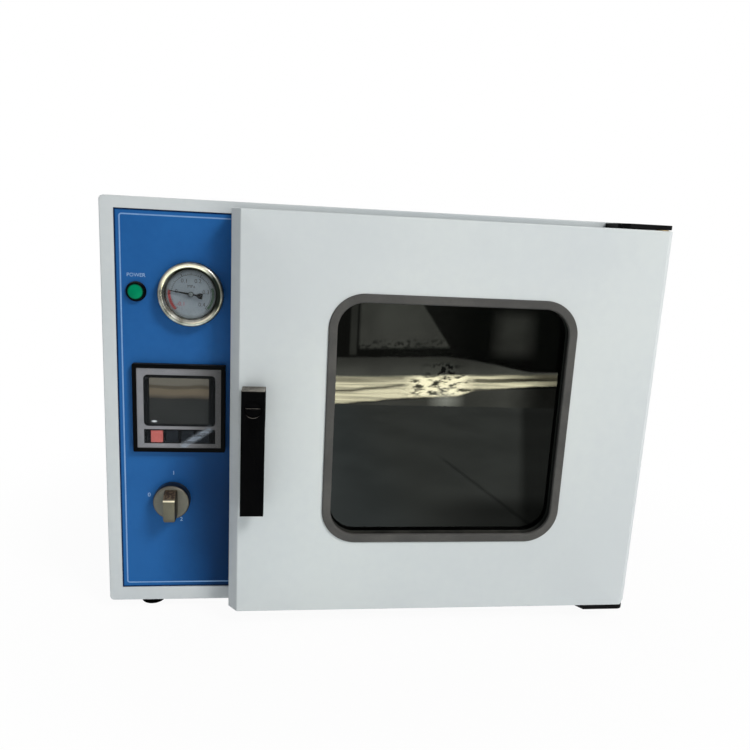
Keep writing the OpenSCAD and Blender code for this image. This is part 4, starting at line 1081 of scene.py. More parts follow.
@dataclass(frozen=True)
class DarkRim(Toned):
    """A finish that turns dark towards the rim of a round piece.

    Attributes:
        rim: Colour at the rim, 0 to 255 as seen.
        centre: Middle of the piece in metres.
        reach: Distances from the middle where the dark begins and where it is full, in metres.
    """

    rim: Colour
    centre: Point
    reach: tuple[float, float]

    def tone(self, shelf: MaterialShelf, sheet: NodeSheet, place: object) -> Socket:
        """Returns the colour, from the distance to the axis along Y."""
        away = sheet.vector("LENGTH", sheet.off_axis(place, self.centre))
        plain = shelf.drift(sheet, place, self.base)
        return sheet.blend(sheet.ramp(away, *self.reach), plain, linear(self.rim))


@dataclass(frozen=True)
class WingWithPaintedLight(Toned):
    """Plated wing with painted light: a painted highlight where its slope breaks, painted brown shade over
    it, and painted shade on its right flank.

    Attributes:
        middle: X and Z of the knob's axis in metres.
        half: Half the wing's width in metres.
        crest: Height of the painted highlight over the axis in metres.
    """

    middle: tuple[float, float]
    half: float
    crest: float

    def tone(self, shelf: MaterialShelf, sheet: NodeSheet, place: object) -> Socket:
        """Returns the plating's colour with its painted light."""
        part = sheet.parts(place)
        across = sheet.minus(part["X"], self.middle[0])
        up = sheet.minus(part["Z"], self.middle[1])
        # Painted shade: mottled brown over the crest.
        spots = sheet.ramp(sheet.noise(place, 320.0, 2.0), 0.4, 0.62)
        brown = sheet.blend(spots, linear((44, 32, 22)), linear((96, 82, 64)))
        plain = shelf.drift(sheet, place, self.base, 70.0)
        cover = sheet.blend(sheet.ramp(up, self.crest, self.crest + 1.4 * MM), plain, brown)
        # Painted highlight along the break of the slope.
        line = sheet.window(up, self.crest - 1.8 * MM, self.crest - 0.4 * MM, 0.8 * MM)
        cover = sheet.blend(line, cover, linear((240, 232, 204)))
        # Painted shade on the right flank.
        flank = sheet.ramp(across, 0.84 * self.half, 0.95 * self.half)
        return sheet.blend(flank, cover, linear((26, 24, 16)))


@dataclass(frozen=True)
class Glow(Special):
    """Light on a sheet that only mirrors show; shade() places its nodes.

    Attributes:
        name: Name of the material.
    """

    name: str

    def shade(self, sheet: NodeSheet, place: object) -> Socket:
        """Places the shader's nodes.

        Args:
            sheet: Where the nodes go.
            place: Coordinates in millimetres.

        Returns:
            The shader.
        """
        raise NotImplementedError

    def make(self, shelf: MaterialShelf) -> bpy.types.Material:
        """Returns the material."""
        material = bpy.data.materials.new(self.name)
        material.use_nodes = True
        sheet = NodeSheet(material.node_tree)
        place = sheet.vector("MULTIPLY", sheet.put("TexCoord").outputs["Object"], (1 / MM,) * 3)
        sheet.show(self.shade(sheet, place))
        return material


@dataclass(frozen=True)
class RoomGlow(Glow):
    """Light of a dim room on an upright sheet, as a mirror at the window shows it.

    The spans are in millimetres from left to right. The fall is how far a point lies under the bench
    top's rear edge, in steps of 2.8 mm, with a slow wobble.
    """

    BENCH = (-25.0, 690.0)
    NEAR_BENCH = (14.0, 250.0)
    BEND = (330.0, 420.0)
    FAR_BENCH = (420.0, 600.0)
    HEAP = (214.0, 380.0)
    ROPES = (262.0, 350.0)
    LAMP = (290.0, 350.0)
    POST = (48.0, 66.0)
    WALL_LEFT = 73.0
    FAR_PATCH = (450.0, 545.0)
    STEP_SHARE = 0.357

    def shade(self, sheet: NodeSheet, place: object) -> Socket:
        """Returns the shader: cream light on the bench top, and greenish light on the rest."""
        part = sheet.parts(place)
        x, z = part["X"], part["Z"]
        wobble = sheet.times(sheet.minus(sheet.noise(place, 0.02, 3.0), 0.5), 2.4)
        edge = sheet.ramp(x, -600.0, 1400.0, 65.5, 116.5)
        fall = sheet.plus(sheet.times(sheet.minus(edge, z), self.STEP_SHARE), wobble)
        room = sheet.glow(linear((250, 255, 238)), self.walls(sheet, place, x, z, fall))
        cream = sheet.glow(linear((252, 246, 208)), sheet.times(self.bench(sheet, place, x, fall), 31.0))
        return sheet.put("AddShader", {0: room, 1: cream}).outputs[0]

    def front_edge(self, sheet: NodeSheet, x: object, depth: tuple[float, float], rise: float) -> Socket:
        """Places the front edge of the bench top, which comes nearer to the rear edge to the right.

        Args:
            sheet: Where the nodes go.
            x: Place from left to right in millimetres.
            depth: Fall of the edge at either end of the near part.
            rise: How much less the fall is past the bend.

        Returns:
            The fall of the edge.
        """
        return sheet.plus(sheet.ramp(x, *self.NEAR_BENCH, *depth), sheet.ramp(x, *self.BEND, 0.0, -rise))

    def bench(self, sheet: NodeSheet, place: object, x: object, fall: object) -> Socket:
        """Places the light of the bench top: bright strips, a dark line between them and pale lumps.

        Args:
            sheet: Where the nodes go.
            place: Coordinates in millimetres.
            x: Place from left to right in millimetres.
            fall: The fall under the bench top's rear edge.

        Returns:
            The strength of the light.
        """
        streaks = sheet.vector("MULTIPLY", place, (0.004, 1.0, 0.16))
        grain = sheet.ramp(sheet.noise(streaks, 1.0, 3.0), 0.34, 0.6, 0.62, 1.12)
        end = sheet.plus(self.front_edge(sheet, x, (26.0, 21.5), 6.5),
                         sheet.ramp(x, *self.FAR_BENCH, 0.0, -3.0))
        near = sheet.times(sheet.window(fall, 0.0, end, 2.2), sheet.window(x, *self.BENCH, 20.0))
        dip = sheet.ramp(x, 14.0, 240.0, 14.0, 9.0)
        cut = sheet.window(fall, sheet.minus(dip, 1.4), sheet.plus(dip, 1.4), 2.6)
        left = sheet.times(sheet.ramp(fall, 2.5, 7.5, 0.42, 1.0), sheet.spared(cut, 0.82))
        upper = sheet.times(sheet.window(fall, 1.0, 4.4, 1.6), sheet.ramp(x, *self.FAR_BENCH, 1.0, 0.1))
        lower = sheet.times(sheet.window(fall, 7.8, 14.0, 1.8), sheet.ramp(x, 540.0, 640.0, 1.0, 0.4))
        right = sheet.maths("MAXIMUM", sheet.maths("MAXIMUM", upper, lower),
                            sheet.ramp(x, 400.0, 560.0, 0.24, 0.06))
        strips = sheet.blend(sheet.ramp(x, 330.0, 390.0), left, right)
        tilted = sheet.put("Mapping", {"Vector": place, "Rotation": (0.0, -0.5, 0.0),
                                       "Scale": (0.03, 1.0, 0.075)}).outputs[0]
        lumps = sheet.ramp(sheet.noise(tilted, 1.0, 3.0, 0.6), 0.38, 0.56, 0.05, 1.6)
        heap = sheet.times(sheet.window(x, *self.HEAP, 46.0), sheet.window(fall, 0.0, 20.5, 5.0))
        strips = sheet.blend(heap, sheet.times(strips, grain), lumps)
        return sheet.times(near, strips)

    def walls(self, sheet: NodeSheet, place: object, x: object, z: object, fall: object) -> Socket:
        """Places the light of the rest: the bench's grey rear and front, dark gap and wall patches.

        Args:
            sheet: Where the nodes go.
            place: Coordinates in millimetres.
            x: Place from left to right in millimetres.
            z: Height in millimetres.
            fall: The fall under the bench top's rear edge.

        Returns:
            The strength of the light.
        """
        slant = sheet.maths("MULTIPLY_ADD", sheet.minus(265.0, z), 0.71, 250.0)
        wall = sheet.times(sheet.window(x, self.WALL_LEFT, slant, 9.0),
                           sheet.window(fall, -300.0, -27.5, 3.0))
        specks = sheet.times(sheet.ramp(sheet.noise(place, 0.09, 3.0), 0.48, 0.6),
                             sheet.window(fall, -35.0, -26.0, 3.0))
        wall = sheet.times(wall, sheet.minus(1.75, sheet.times(specks, 1.2)))
        far = sheet.times(sheet.window(x, *self.FAR_PATCH, 48.0), sheet.window(z, 150.0, 262.0, 34.0))
        post = sheet.times(sheet.window(x, *self.POST, 6.0), sheet.window(fall, -300.0, -21.0, 3.0))
        start = sheet.ramp(x, 290.0, 610.0, -18.5, -1.0)
        band = sheet.times(sheet.window(fall, start, 1.0, 2.0), sheet.ramp(fall, -18.0, -1.0, 1.25, 2.4))
        ropes = sheet.times(sheet.window(x, *self.ROPES, 46.0), sheet.window(fall, -12.0, 2.0, 4.0))
        knots = sheet.ramp(sheet.noise(place, 0.075, 1.0), 0.48, 0.54, 0.0, 0.95)
        band = sheet.times(band, sheet.minus(1.0, sheet.times(ropes, knots)))
        end = self.front_edge(sheet, x, (27.0, 22.5), 8.0)
        under = sheet.times(sheet.window(fall, end, 300.0, 3.0), sheet.ramp(x, 480.0, 600.0, 2.1, 0.3))
        lamp = sheet.times(sheet.window(x, *self.LAMP, 50.0), sheet.window(fall, 17.0, 34.0, 16.0))
        mottle = sheet.ramp(sheet.noise(place, 0.012, 4.0), 0.3, 0.7, 0.8, 1.12)
        total = sheet.plus(wall, far, sheet.times(post, 0.9))
        total = sheet.times(sheet.plus(total, sheet.plus(band, under)), mottle)
        total = sheet.plus(total, sheet.times(lamp, 8.0))
        return sheet.plus(total, sheet.ramp(x, 250.0, 400.0, 0.2, 0.03))


@dataclass(frozen=True)
class BenchGlow(Glow):
    """Light of a dim bench top on a level sheet in front of the oven.

    With x and y in millimetres, a side wall's dark part begins at x + 0.335 y = 108, a thin dark
    line runs along x - 0.227 y = 408, and the middle grows darker towards the oven.
    """

    WALL_SLANT = 0.335
    LINE_SLANT = 0.227
    LINE = (403.0, 412.0)

    def shade(self, sheet: NodeSheet, place: object) -> Socket:
        """Returns the shader."""
        part = sheet.parts(place)
        x, y = part["X"], part["Y"]
        aside = sheet.plus(x, sheet.times(y, self.WALL_SLANT))
        across = sheet.minus(x, sheet.times(y, self.LINE_SLANT))
        wall = sheet.ramp(aside, 94.0, 120.0, 1.0, 0.36)
        line = sheet.times(sheet.window(across, *self.LINE, 6.0), sheet.window(y, -850.0, -480.0, 60.0))
        low = sheet.times(sheet.ramp(x, 40.0, 260.0), sheet.ramp(y, -660.0, -560.0))
        mottle = sheet.ramp(sheet.noise(place, 0.008, 4.0), 0.3, 0.7, 0.88, 1.08)
        level = sheet.times(wall, sheet.spared(line, 0.35))
        level = sheet.times(level, sheet.spared(low, 0.6))
        level = sheet.times(level, mottle, sheet.ramp(x, 40.0, -160.0, 1.45, 2.25))
        tone = sheet.blend(sheet.ramp(x, 150.0, 0.0), linear((246, 255, 244)), linear((240, 255, 252)))
        return sheet.glow(tone, level)


class Paint:
    """The oven's finishes."""

    WHITE = Finish("white_powder_coat", (207, 214, 218), (200, 208, 213), gloss=(0.36, 0.5), patch_mm=150,
                   relief=Relief(1.1, 0.012, 9.0), dust_and_top_light=0.16, wear=0.15, specular=0.3, slot="white_paint")
    DOOR = Finish("door_powder_coat", (209, 217, 220), (203, 211, 216), gloss=(0.32, 0.46), patch_mm=210,
                  relief=Relief(1.1, 0.012, 9.0), dust_and_top_light=0.12, wear=0.12, specular=0.3, slot="white_paint")
    BLUE = Finish("blue_powder_coat", (38, 99, 166), (34, 92, 158), gloss=(0.3, 0.44), patch_mm=110,
                  relief=Relief(0.9, 0.008, 9.0), specular=0.05, slot="blue_paint")
    LINE = Finish("printed_light_blue", (118, 160, 210), (108, 150, 202), gloss=(0.4, 0.5), patch_mm=20,
                  relief=Relief(0.4, 0.003), slot="blue_paint")
    MARKS = Finish("printed_pale_marks", (150, 184, 222), (138, 172, 212), gloss=(0.4, 0.5), patch_mm=10,
                   relief=Relief(0.4, 0.003), slot="blue_paint")
    RUBBER = Finish("moulding_rubber", (86, 86, 85), (76, 76, 76), gloss=(0.48, 0.62), patch_mm=35,
                    relief=Relief(0.35, 0.012, 14.0), dust_and_top_light=0.08, specular=0.08, slot="moulding_grey")
    # On the grip, dust_and_top_light=0.75 is mostly a painted highlight: it paints the upward top face pale
    # grey.
    HANDLE = Finish("black_moulded_grip", (4, 4, 5), (6, 6, 7), gloss=(0.42, 0.58), patch_mm=30,
                    relief=Relief(0.45, 0.014, 20.0), dust_and_top_light=0.75, wear=0.3, worn=(30, 29, 28), specular=0.008,
                    slot="handle_black")
    BLACK = Finish("black_plastic", (5, 5, 6), (8, 8, 9), gloss=(0.34, 0.5), patch_mm=25,
                   relief=Relief(0.4, 0.01), dust_and_top_light=0.1, specular=0.02, slot="black_plastic")
    DIAL = Finish("dial_plate", (116, 124, 135), (108, 116, 127), gloss=(0.42, 0.55), patch_mm=18,
                  relief=Relief(0.3, 0.004), specular=0.08, slot="dial_white")
    FACE = Finish("silver_face_plate", (139, 140, 146), (128, 130, 136), gloss=(0.36, 0.5), patch_mm=28,
                  relief=Relief(0.25, 0.004), specular=0.12, slot="face_silver")
    SCREEN = Finish("dark_display_window", (9, 10, 10), (13, 13, 13), gloss=(0.1, 0.2), patch_mm=40,
                    relief=Relief(2.0, 0.002), specular=0.02, slot="screen_dark")
    GLASSY = Finish("grey_display_glass", (42, 43, 42), (38, 39, 38), gloss=(0.08, 0.16), patch_mm=30,
                    relief=Relief(2.5, 0.002), specular=0.06, slot="screen_dark")
    RED_KEY = Finish("salmon_key_cap", (190, 98, 93), (178, 88, 84), gloss=(0.4, 0.52), patch_mm=8,
                     relief=Relief(0.3, 0.01), specular=0.25, slot="key_red")
    DARK_KEY = Finish("dark_key_cap", (20, 23, 28), (26, 30, 36), gloss=(0.38, 0.5), patch_mm=8,
                      relief=Relief(0.3, 0.01), specular=0.04, slot="black_plastic")
    CHROME = Finish("warm_plated_ring", (214, 205, 182), (202, 192, 168), gloss=(0.24, 0.34), patch_mm=30,
                    metallic=1.0, relief=Relief(0.6, 0.001, 18.0), slot="gauge_chrome")
    WING = Finish("khaki_plated_wing", (84, 79, 64), (74, 69, 56), gloss=(0.36, 0.5), patch_mm=14,
                  metallic=0.3, relief=Relief(0.4, 0.01, 9.0), slot="knob_metal")
    KNOB = Finish("khaki_plated_knob", (86, 82, 74), (76, 73, 66), gloss=(0.36, 0.5), patch_mm=14,
                  metallic=0.3, relief=Relief(0.4, 0.012, 9.0), wear=0.5, worn=(190, 184, 160),
                  slot="knob_metal")
    NEEDLE = Finish("needle_black", (14, 15, 20), (20, 22, 27), gloss=(0.4, 0.5), patch_mm=8,
                    relief=Relief(0.3, 0.004), specular=0.1, slot="needle_black")
    HUB = Finish("grey_hub_cap", (92, 99, 104), (78, 84, 90), gloss=(0.35, 0.45), patch_mm=4,
                 relief=Relief(0.3, 0.003), specular=0.15, slot="needle_black")
    _ink = partial(Finish, gloss=(0.4, 0.5), patch_mm=6, relief=Relief(0.3, 0.002), slot="dial_white")
    GREEN_INK = _ink("printed_green", (26, 62, 44), (22, 54, 38))
    RED_INK = _ink("printed_red", (122, 12, 22), (108, 8, 18))
    BLACK_INK = _ink("printed_black", (6, 7, 10), (10, 11, 14))
    LENS = Finish("green_lens", (0, 140, 96), (0, 128, 90), gloss=(0.2, 0.34), patch_mm=10,
                  relief=Relief(1.2, 0.02), specular=0.03, slot="lens_green")
    STEEL = Finish("brushed_stainless", (176, 176, 174), (160, 160, 158), gloss=(0.26, 0.4), patch_mm=80,
                   metallic=1.0, relief=Relief(0.5, 0.006, 40.0, Brushing.ALONG_Y), dust_and_top_light=0.1,
                   slot="stainless")
    SHELF = Finish("bright_stainless", (186, 186, 184), (170, 170, 168), gloss=(0.2, 0.34), patch_mm=60,
                   metallic=1.0, relief=Relief(0.5, 0.005, 30.0, Brushing.ALONG_X), slot="stainless")
    ZINC = Finish("zinc_plate", (168, 168, 164), (150, 151, 150), gloss=(0.28, 0.42), patch_mm=12,
                  metallic=1.0, relief=Relief(0.6, 0.006), dust_and_top_light=0.1, slot="zinc_steel")
    SILICONE = Finish("red_silicone", (150, 66, 54), (138, 58, 48), gloss=(0.5, 0.64), patch_mm=30,
                      relief=Relief(0.4, 0.01), dust_and_top_light=0.1, slot="silicone")
    WOOL = Finish("mineral_wool", (188, 172, 122), (158, 140, 92), gloss=(0.85, 0.95), patch_mm=9,
                  relief=Relief(2.4, 0.9, 22.0), specular=0.1, slot="mineral_wool")
    HEATER = Finish("heater_foil_pad", (196, 98, 42), (176, 82, 34), gloss=(0.45, 0.6), patch_mm=20,
                    relief=Relief(1.5, 0.05), slot="heater")
    BRASS = Finish("brass", (186, 156, 92), (168, 138, 78), gloss=(0.22, 0.38), patch_mm=14, metallic=1.0,
                   relief=Relief(0.5, 0.005), dust_and_top_light=0.1, slot="brass")
    NICKEL = Finish("nickel_plate", (186, 184, 176), (170, 168, 160), gloss=(0.16, 0.3), patch_mm=12,
                    metallic=1.0, relief=Relief(0.5, 0.004), dust_and_top_light=0.1, slot="zinc_steel")
    COPPER = Finish("copper_pipe", (184, 112, 76), (150, 86, 58), gloss=(0.28, 0.44), patch_mm=18,
                    metallic=1.0, relief=Relief(0.6, 0.006), slot="copper")
    FOOT = Finish("foot_rubber", (5, 5, 5), (8, 8, 8), gloss=(0.62, 0.78), patch_mm=9,
                  relief=Relief(0.6, 0.03), specular=0.0, slot="foot_rubber")
    HINGE = Finish("hinge_black_coat", (9, 10, 12), (16, 16, 18), gloss=(0.42, 0.56), patch_mm=20,
                   relief=Relief(0.7, 0.016), dust_and_top_light=0.1, wear=0.3, worn=(100, 98, 94), specular=0.04,
                   slot="hinge_black")
    TERMINAL = Finish("terminal_plastic", (214, 208, 192), (202, 196, 180), gloss=(0.45, 0.6), patch_mm=12,
                      relief=Relief(0.5, 0.01), slot="terminal_white")
    _sleeve = partial(Finish, gloss=(0.3, 0.44), patch_mm=12, relief=Relief(0.5, 0.01), dust_and_top_light=0.2, wear=0.3)
    LEVER_RED = _sleeve("red_lever_sleeve", (168, 30, 28), (150, 24, 24), slot="lever_red")
    LEVER_BLUE = _sleeve("blue_lever_sleeve", (34, 82, 160), (28, 70, 142), slot="lever_blue")
    ALUMINIUM = Finish("anodised_spacer", (120, 121, 122), (106, 107, 108), gloss=(0.4, 0.52), patch_mm=30,
                       metallic=1.0, relief=Relief(0.6, 0.006, 20.0, Brushing.ALONG_X), slot="spacer_alu")
    PANE = Glass("smoked_window_glass", (46, 50, 46), ior=1.33, gloss=(0.0, 0.01), slot="window_glass")
    INNER_PANE = Glass("tempered_inner_glass", (196, 204, 196), ior=1.12, gloss=(0.0, 0.01),
                       slot="window_glass")
    DIAL_GLASS = Glass("gauge_glass", (246, 248, 246), ior=1.25, gloss=(0.0, 0.02), slot="clear_glass")


SHELF = MaterialShelf()


# ---------- Pieces ----------


def place_piece(name: str, surface: Surface, body: Body, finish: Look,
                stands_for: Iterable[str] = (), crease: float = 35.0, bevel: float = 0.0) -> bpy.types.Object:
    """Makes a surface into a piece that rides on a body.

    Args:
        name: Name of the piece.
        surface: Its points in millimetres of the part frame, and its faces.
        body: The body it rides on.
        finish: Its finish.
        stands_for: CAD nodes that it replaces.
        crease: Edges bent by more than this many degrees stay sharp.
        bevel: Width in millimetres of a bevel on sharp edges, 0 for none.

    Returns:
        The object.
    """
    mesh = bpy.data.meshes.new(name)
    mesh.from_pydata((surface.points * MM).tolist(), [], surface.faces)
    work = bmesh.new()
    work.from_mesh(mesh)
    bmesh.ops.remove_doubles(work, verts=work.verts, dist=MERGE_M)
    bmesh.ops.recalc_face_normals(work, faces=work.faces)
    work.to_mesh(mesh)
    work.free()
    return finish_piece(name, mesh, body, finish, stands_for, crease, bevel)


def finish_piece(name: str, mesh: bpy.types.Mesh, body: Body, finish: Look,
                 stands_for: Iterable[str], crease: float, bevel: float) -> bpy.types.Object:
    """Dresses a mesh, links it, and hands it to its body.

    Args:
        name: Name of the piece.
        mesh: Its mesh in metres.
        body: The body it rides on.
        finish: Its finish.
        stands_for: CAD nodes that it replaces.
        crease: Edges bent by more than this many degrees stay sharp.
        bevel: Width in millimetres of a bevel on sharp edges, 0 for none.

    Returns:
        The object.
    """
    mesh.materials.clear()
    mesh.materials.append(SHELF.get(finish))
    mesh.polygons.foreach_set("use_smooth", np.ones(len(mesh.polygons), bool))
    mesh.set_sharp_from_angle(angle=math.radians(crease))
    thing = bpy.data.objects.new(name, mesh)
    bpy.context.scene.collection.objects.link(thing)
    if bevel > 0:
        edge = thing.modifiers.new("soft_edges", "BEVEL")
        edge.width = bevel * MM
        edge.segments = 3
        edge.limit_method = "ANGLE"
        edge.angle_limit = math.radians(crease)
        edge.harden_normals = True
    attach(thing, body.value)
    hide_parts(*stands_for)
    if finish.slot:
        finish.slot
    log.info("piece %-24s %6d faces on %s", name, len(mesh.polygons), body.value)
    return thing


def softened(node: str, finish: Look, body: Body = Body.CABINET, bevel: float = 0.4,
             crease: float = 32.0) -> bpy.types.Object:
    """Stands a merged copy of a CAD node in its place, with soft edges.

    Args:
        node: The CAD node.
        finish: The finish.
        body: The body that it rides on.
        bevel: Width in millimetres of the rounding on its sharp edges.
        crease: Edges bent by more than this many degrees are rounded.

    Returns:
        The object.
    """
    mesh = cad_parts[node].data.copy()
    work = bmesh.new()
    work.from_mesh(mesh)
    bmesh.ops.remove_doubles(work, verts=work.verts, dist=MERGE_M)
    bmesh.ops.dissolve_limit(work, angle_limit=math.radians(0.4), verts=work.verts, edges=work.edges,
                             use_dissolve_boundaries=False)
    work.to_mesh(mesh)
    work.free()
    return finish_piece(node + "_fine", mesh, body, finish, [node], crease, bevel)


def dress(node: str, finish: Look) -> None:
    """Gives a CAD node that stays in view its finish."""
    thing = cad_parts[node]
    thing.data.materials.clear()
    thing.data.materials.append(SHELF.get(finish))
    log.info("node  %-24s %s", node, finish.name)


@dataclass
class Cabinet:
    """Painted shell, instrument panel print, covers, screws and feet.

    Attributes:
        sheet: Thickness of the sheet.
        edge: Radius of the long edges.
        fold: Radius of the folded front edge.
        flange_side: Width of the front flange at the sides.
        flange_bottom: Its height at the bottom.
        flange_top: Its height at the top.
        rear_flange: Width of the rear flange.
        line_inset: Distance of the printed line from the flange.
        line_width: Width of the printed line.
    """

    sheet: float = 1.5
    edge: float = 5.0
    fold: float = 1.4
    flange_side: float = 15.0
    flange_bottom: float = 17.0
    flange_top: float = 13.0
    rear_flange: float = 14.0
    line_inset: float = 6.0
    line_width: float = 1.5

    def build(self) -> None:
        """Builds the shell and the print, and dresses the rest of the cabinet."""
        self.shell()
        self.panel_print()
        shell, panel = NodeBox.of("outer_shell"), NodeBox.of("control_panel")
        low = (shell.low[0] + self.flange_side, shell.low[2] + self.flange_bottom)
        high = (panel.high[0], shell.high[2] - self.flange_top)
        # The blue panel gets painted shade along the frame and low down towards the door.
        blue = PanelWithPaintedShade("panel_blue_painted_shade", Paint.BLUE, (low[0] * MM, low[1] * MM),
                          (high[0] * MM, high[1] * MM))
        for node, finish in {"rear_panel": Paint.WHITE, "front_fascia": Paint.WHITE,
                             "control_panel": blue, "bay_partition": Paint.ZINC,
                             "panel_screws": Paint.ZINC, "latch_keeper": Paint.ZINC}.items():
            dress(node, finish)
        softened("feet", Paint.FOOT, bevel=0.8)
        softened("hinge_brackets", Paint.HINGE, bevel=0.6)
        softened("hinge_pins", Paint.ZINC, bevel=0.7)

    def shell(self) -> None:
        """Loft round the sheet: front flange, round front edge, walls, rear flange, and back inside."""
        box = NodeBox.of("outer_shell")
        (w, depth, h), low = box.size, box.low
        centre = (box.centre[0], box.centre[2])
        wide = w - 2 * self.flange_side
        high = h - self.flange_bottom - self.flange_top
        lift = (0.0, (self.flange_bottom - self.flange_top) / 2)
        s, y0, y1, e = self.sheet, low[1], low[1] + depth, self.edge
        rings = [Ring(wide, high, 0.8, y0 + s, lift), Ring(wide, high, 0.8, y0 + 0.4, lift),
                 Ring(wide + 0.7, high + 0.7, 1.1, y0, lift)]
        rings += [Ring(w - 2 * (self.fold - b), h - 2 * (self.fold - b), e - self.fold + b,
                       y0 + self.fold - a) for b, a in arc_points(0, 0, self.fold, 90, 0, 6)]
        rings += [Ring(w, h, e, y1 - 1.0), Ring(w - 0.6, h - 0.6, e, y1 - 0.2), Ring(w - 1.4, h - 1.4, e, y1),
                  Ring(w - 2 * s, h - 2 * s, e - s, y1), Ring(w - 2 * s, h - 2 * s, e - s, y1 - s)]
        rear_w, rear_h = w - 2 * self.rear_flange, h - 2 * self.rear_flange
        rings += [Ring(rear_w, rear_h, 0.8, y1 - s), Ring(rear_w, rear_h, 0.8, y1 - 2 * s),
                  Ring(w - 2 * s, h - 2 * s, e - s, y1 - 2 * s), Ring(w - 2 * s, h - 2 * s, e - s, y0 + s)]
        place_piece("cabinet_shell", framed(rings, centre, arc=8), Body.CABINET, Paint.WHITE, ["outer_shell"],
                    crease=40)

    def panel_print(self) -> None:
        """Thin line round the instrument panel, switch marks and the lamp's generic caption."""
        panel, shell = NodeBox.of("control_panel"), NodeBox.of("outer_shell")
        x0 = shell.low[0] + self.flange_side + self.line_inset
        x1 = panel.high[0] - self.line_inset
        z0 = shell.low[2] + self.flange_bottom + self.line_inset
        z1 = shell.high[2] - self.flange_top - self.line_inset
        a = self.line_width / 2
        line = carried([(-a, 0), (-a, 0.06), (a, 0.06), (a, 0)], x1 - x0, z1 - z0, 2.5,
                       ((x0 + x1) / 2, (z0 + z1) / 2), panel.low[1], arc=8)
        place_piece("panel_line", line, Body.CABINET, Paint.LINE)
        knob, lamp = NodeBox.of("switch_knob").centre, NodeBox.of("lamp_body").centre
        y = panel.low[1]
        marks = lettering("1", 5.0, (knob[0] + 1.0, y, knob[2] + 31.5)).joined(
            lettering("0", 5.0, (knob[0] - 27.5, y, knob[2] + 4.0)),
            lettering("2", 5.0, (knob[0] + 9.5, y, knob[2] - 27.0)),
            lettering("POWER", 4.2, (lamp[0], y, lamp[2] + 18.0)))
        place_piece("panel_marks", marks, Body.CABINET, Paint.MARKS)


@dataclass
class Chamber:
    """Stainless chamber, shelves and the silicone door seal.

    Attributes:
        seal_half: Half the width of the seal's foot.
        seal_foot: Height of the foot.
        seal_bulb: Radius of the bulb on it.
        seal_corner: Corner radius of the path that the seal follows.
    """

    seal_half: float = 5.0
    seal_foot: float = 3.0
    seal_bulb: float = 3.0
    seal_corner: float = 34.5

    def build(self) -> None:
        """Dresses the chamber and builds the seal."""
        for node, finish in {"inner_chamber": Paint.STEEL, "shelf_rails": Paint.SHELF,
                             "insulation": Paint.WOOL, "heater_pads": Paint.HEATER,
                             "temperature_probe": Paint.NICKEL, "lower_shelf": Paint.SHELF,
                             "upper_shelf": Paint.SHELF}.items():
            dress(node, finish)
        box = NodeBox.of("door_seal")
        (w, depth, h), out = box.size, self.seal_half
        foot, bulb = self.seal_foot, self.seal_bulb
        crown = depth - bulb
        profile = [(-out, 0), (-out, foot - 0.5), (-out + 0.8, foot)]
        profile += [(-bulb, foot)] + arc_points(0, crown, bulb, 180, 0, 13) + [(bulb, foot)]
        profile += [(out - 0.8, foot), (out, foot - 0.5), (out, 0)]
        seal = carried(profile, w - 2 * out, h - 2 * out, self.seal_corner,
                       (box.centre[0], box.centre[2]), box.high[1])
        place_piece("silicone_seal", seal, Body.CABINET, Paint.SILICONE, ["door_seal"])


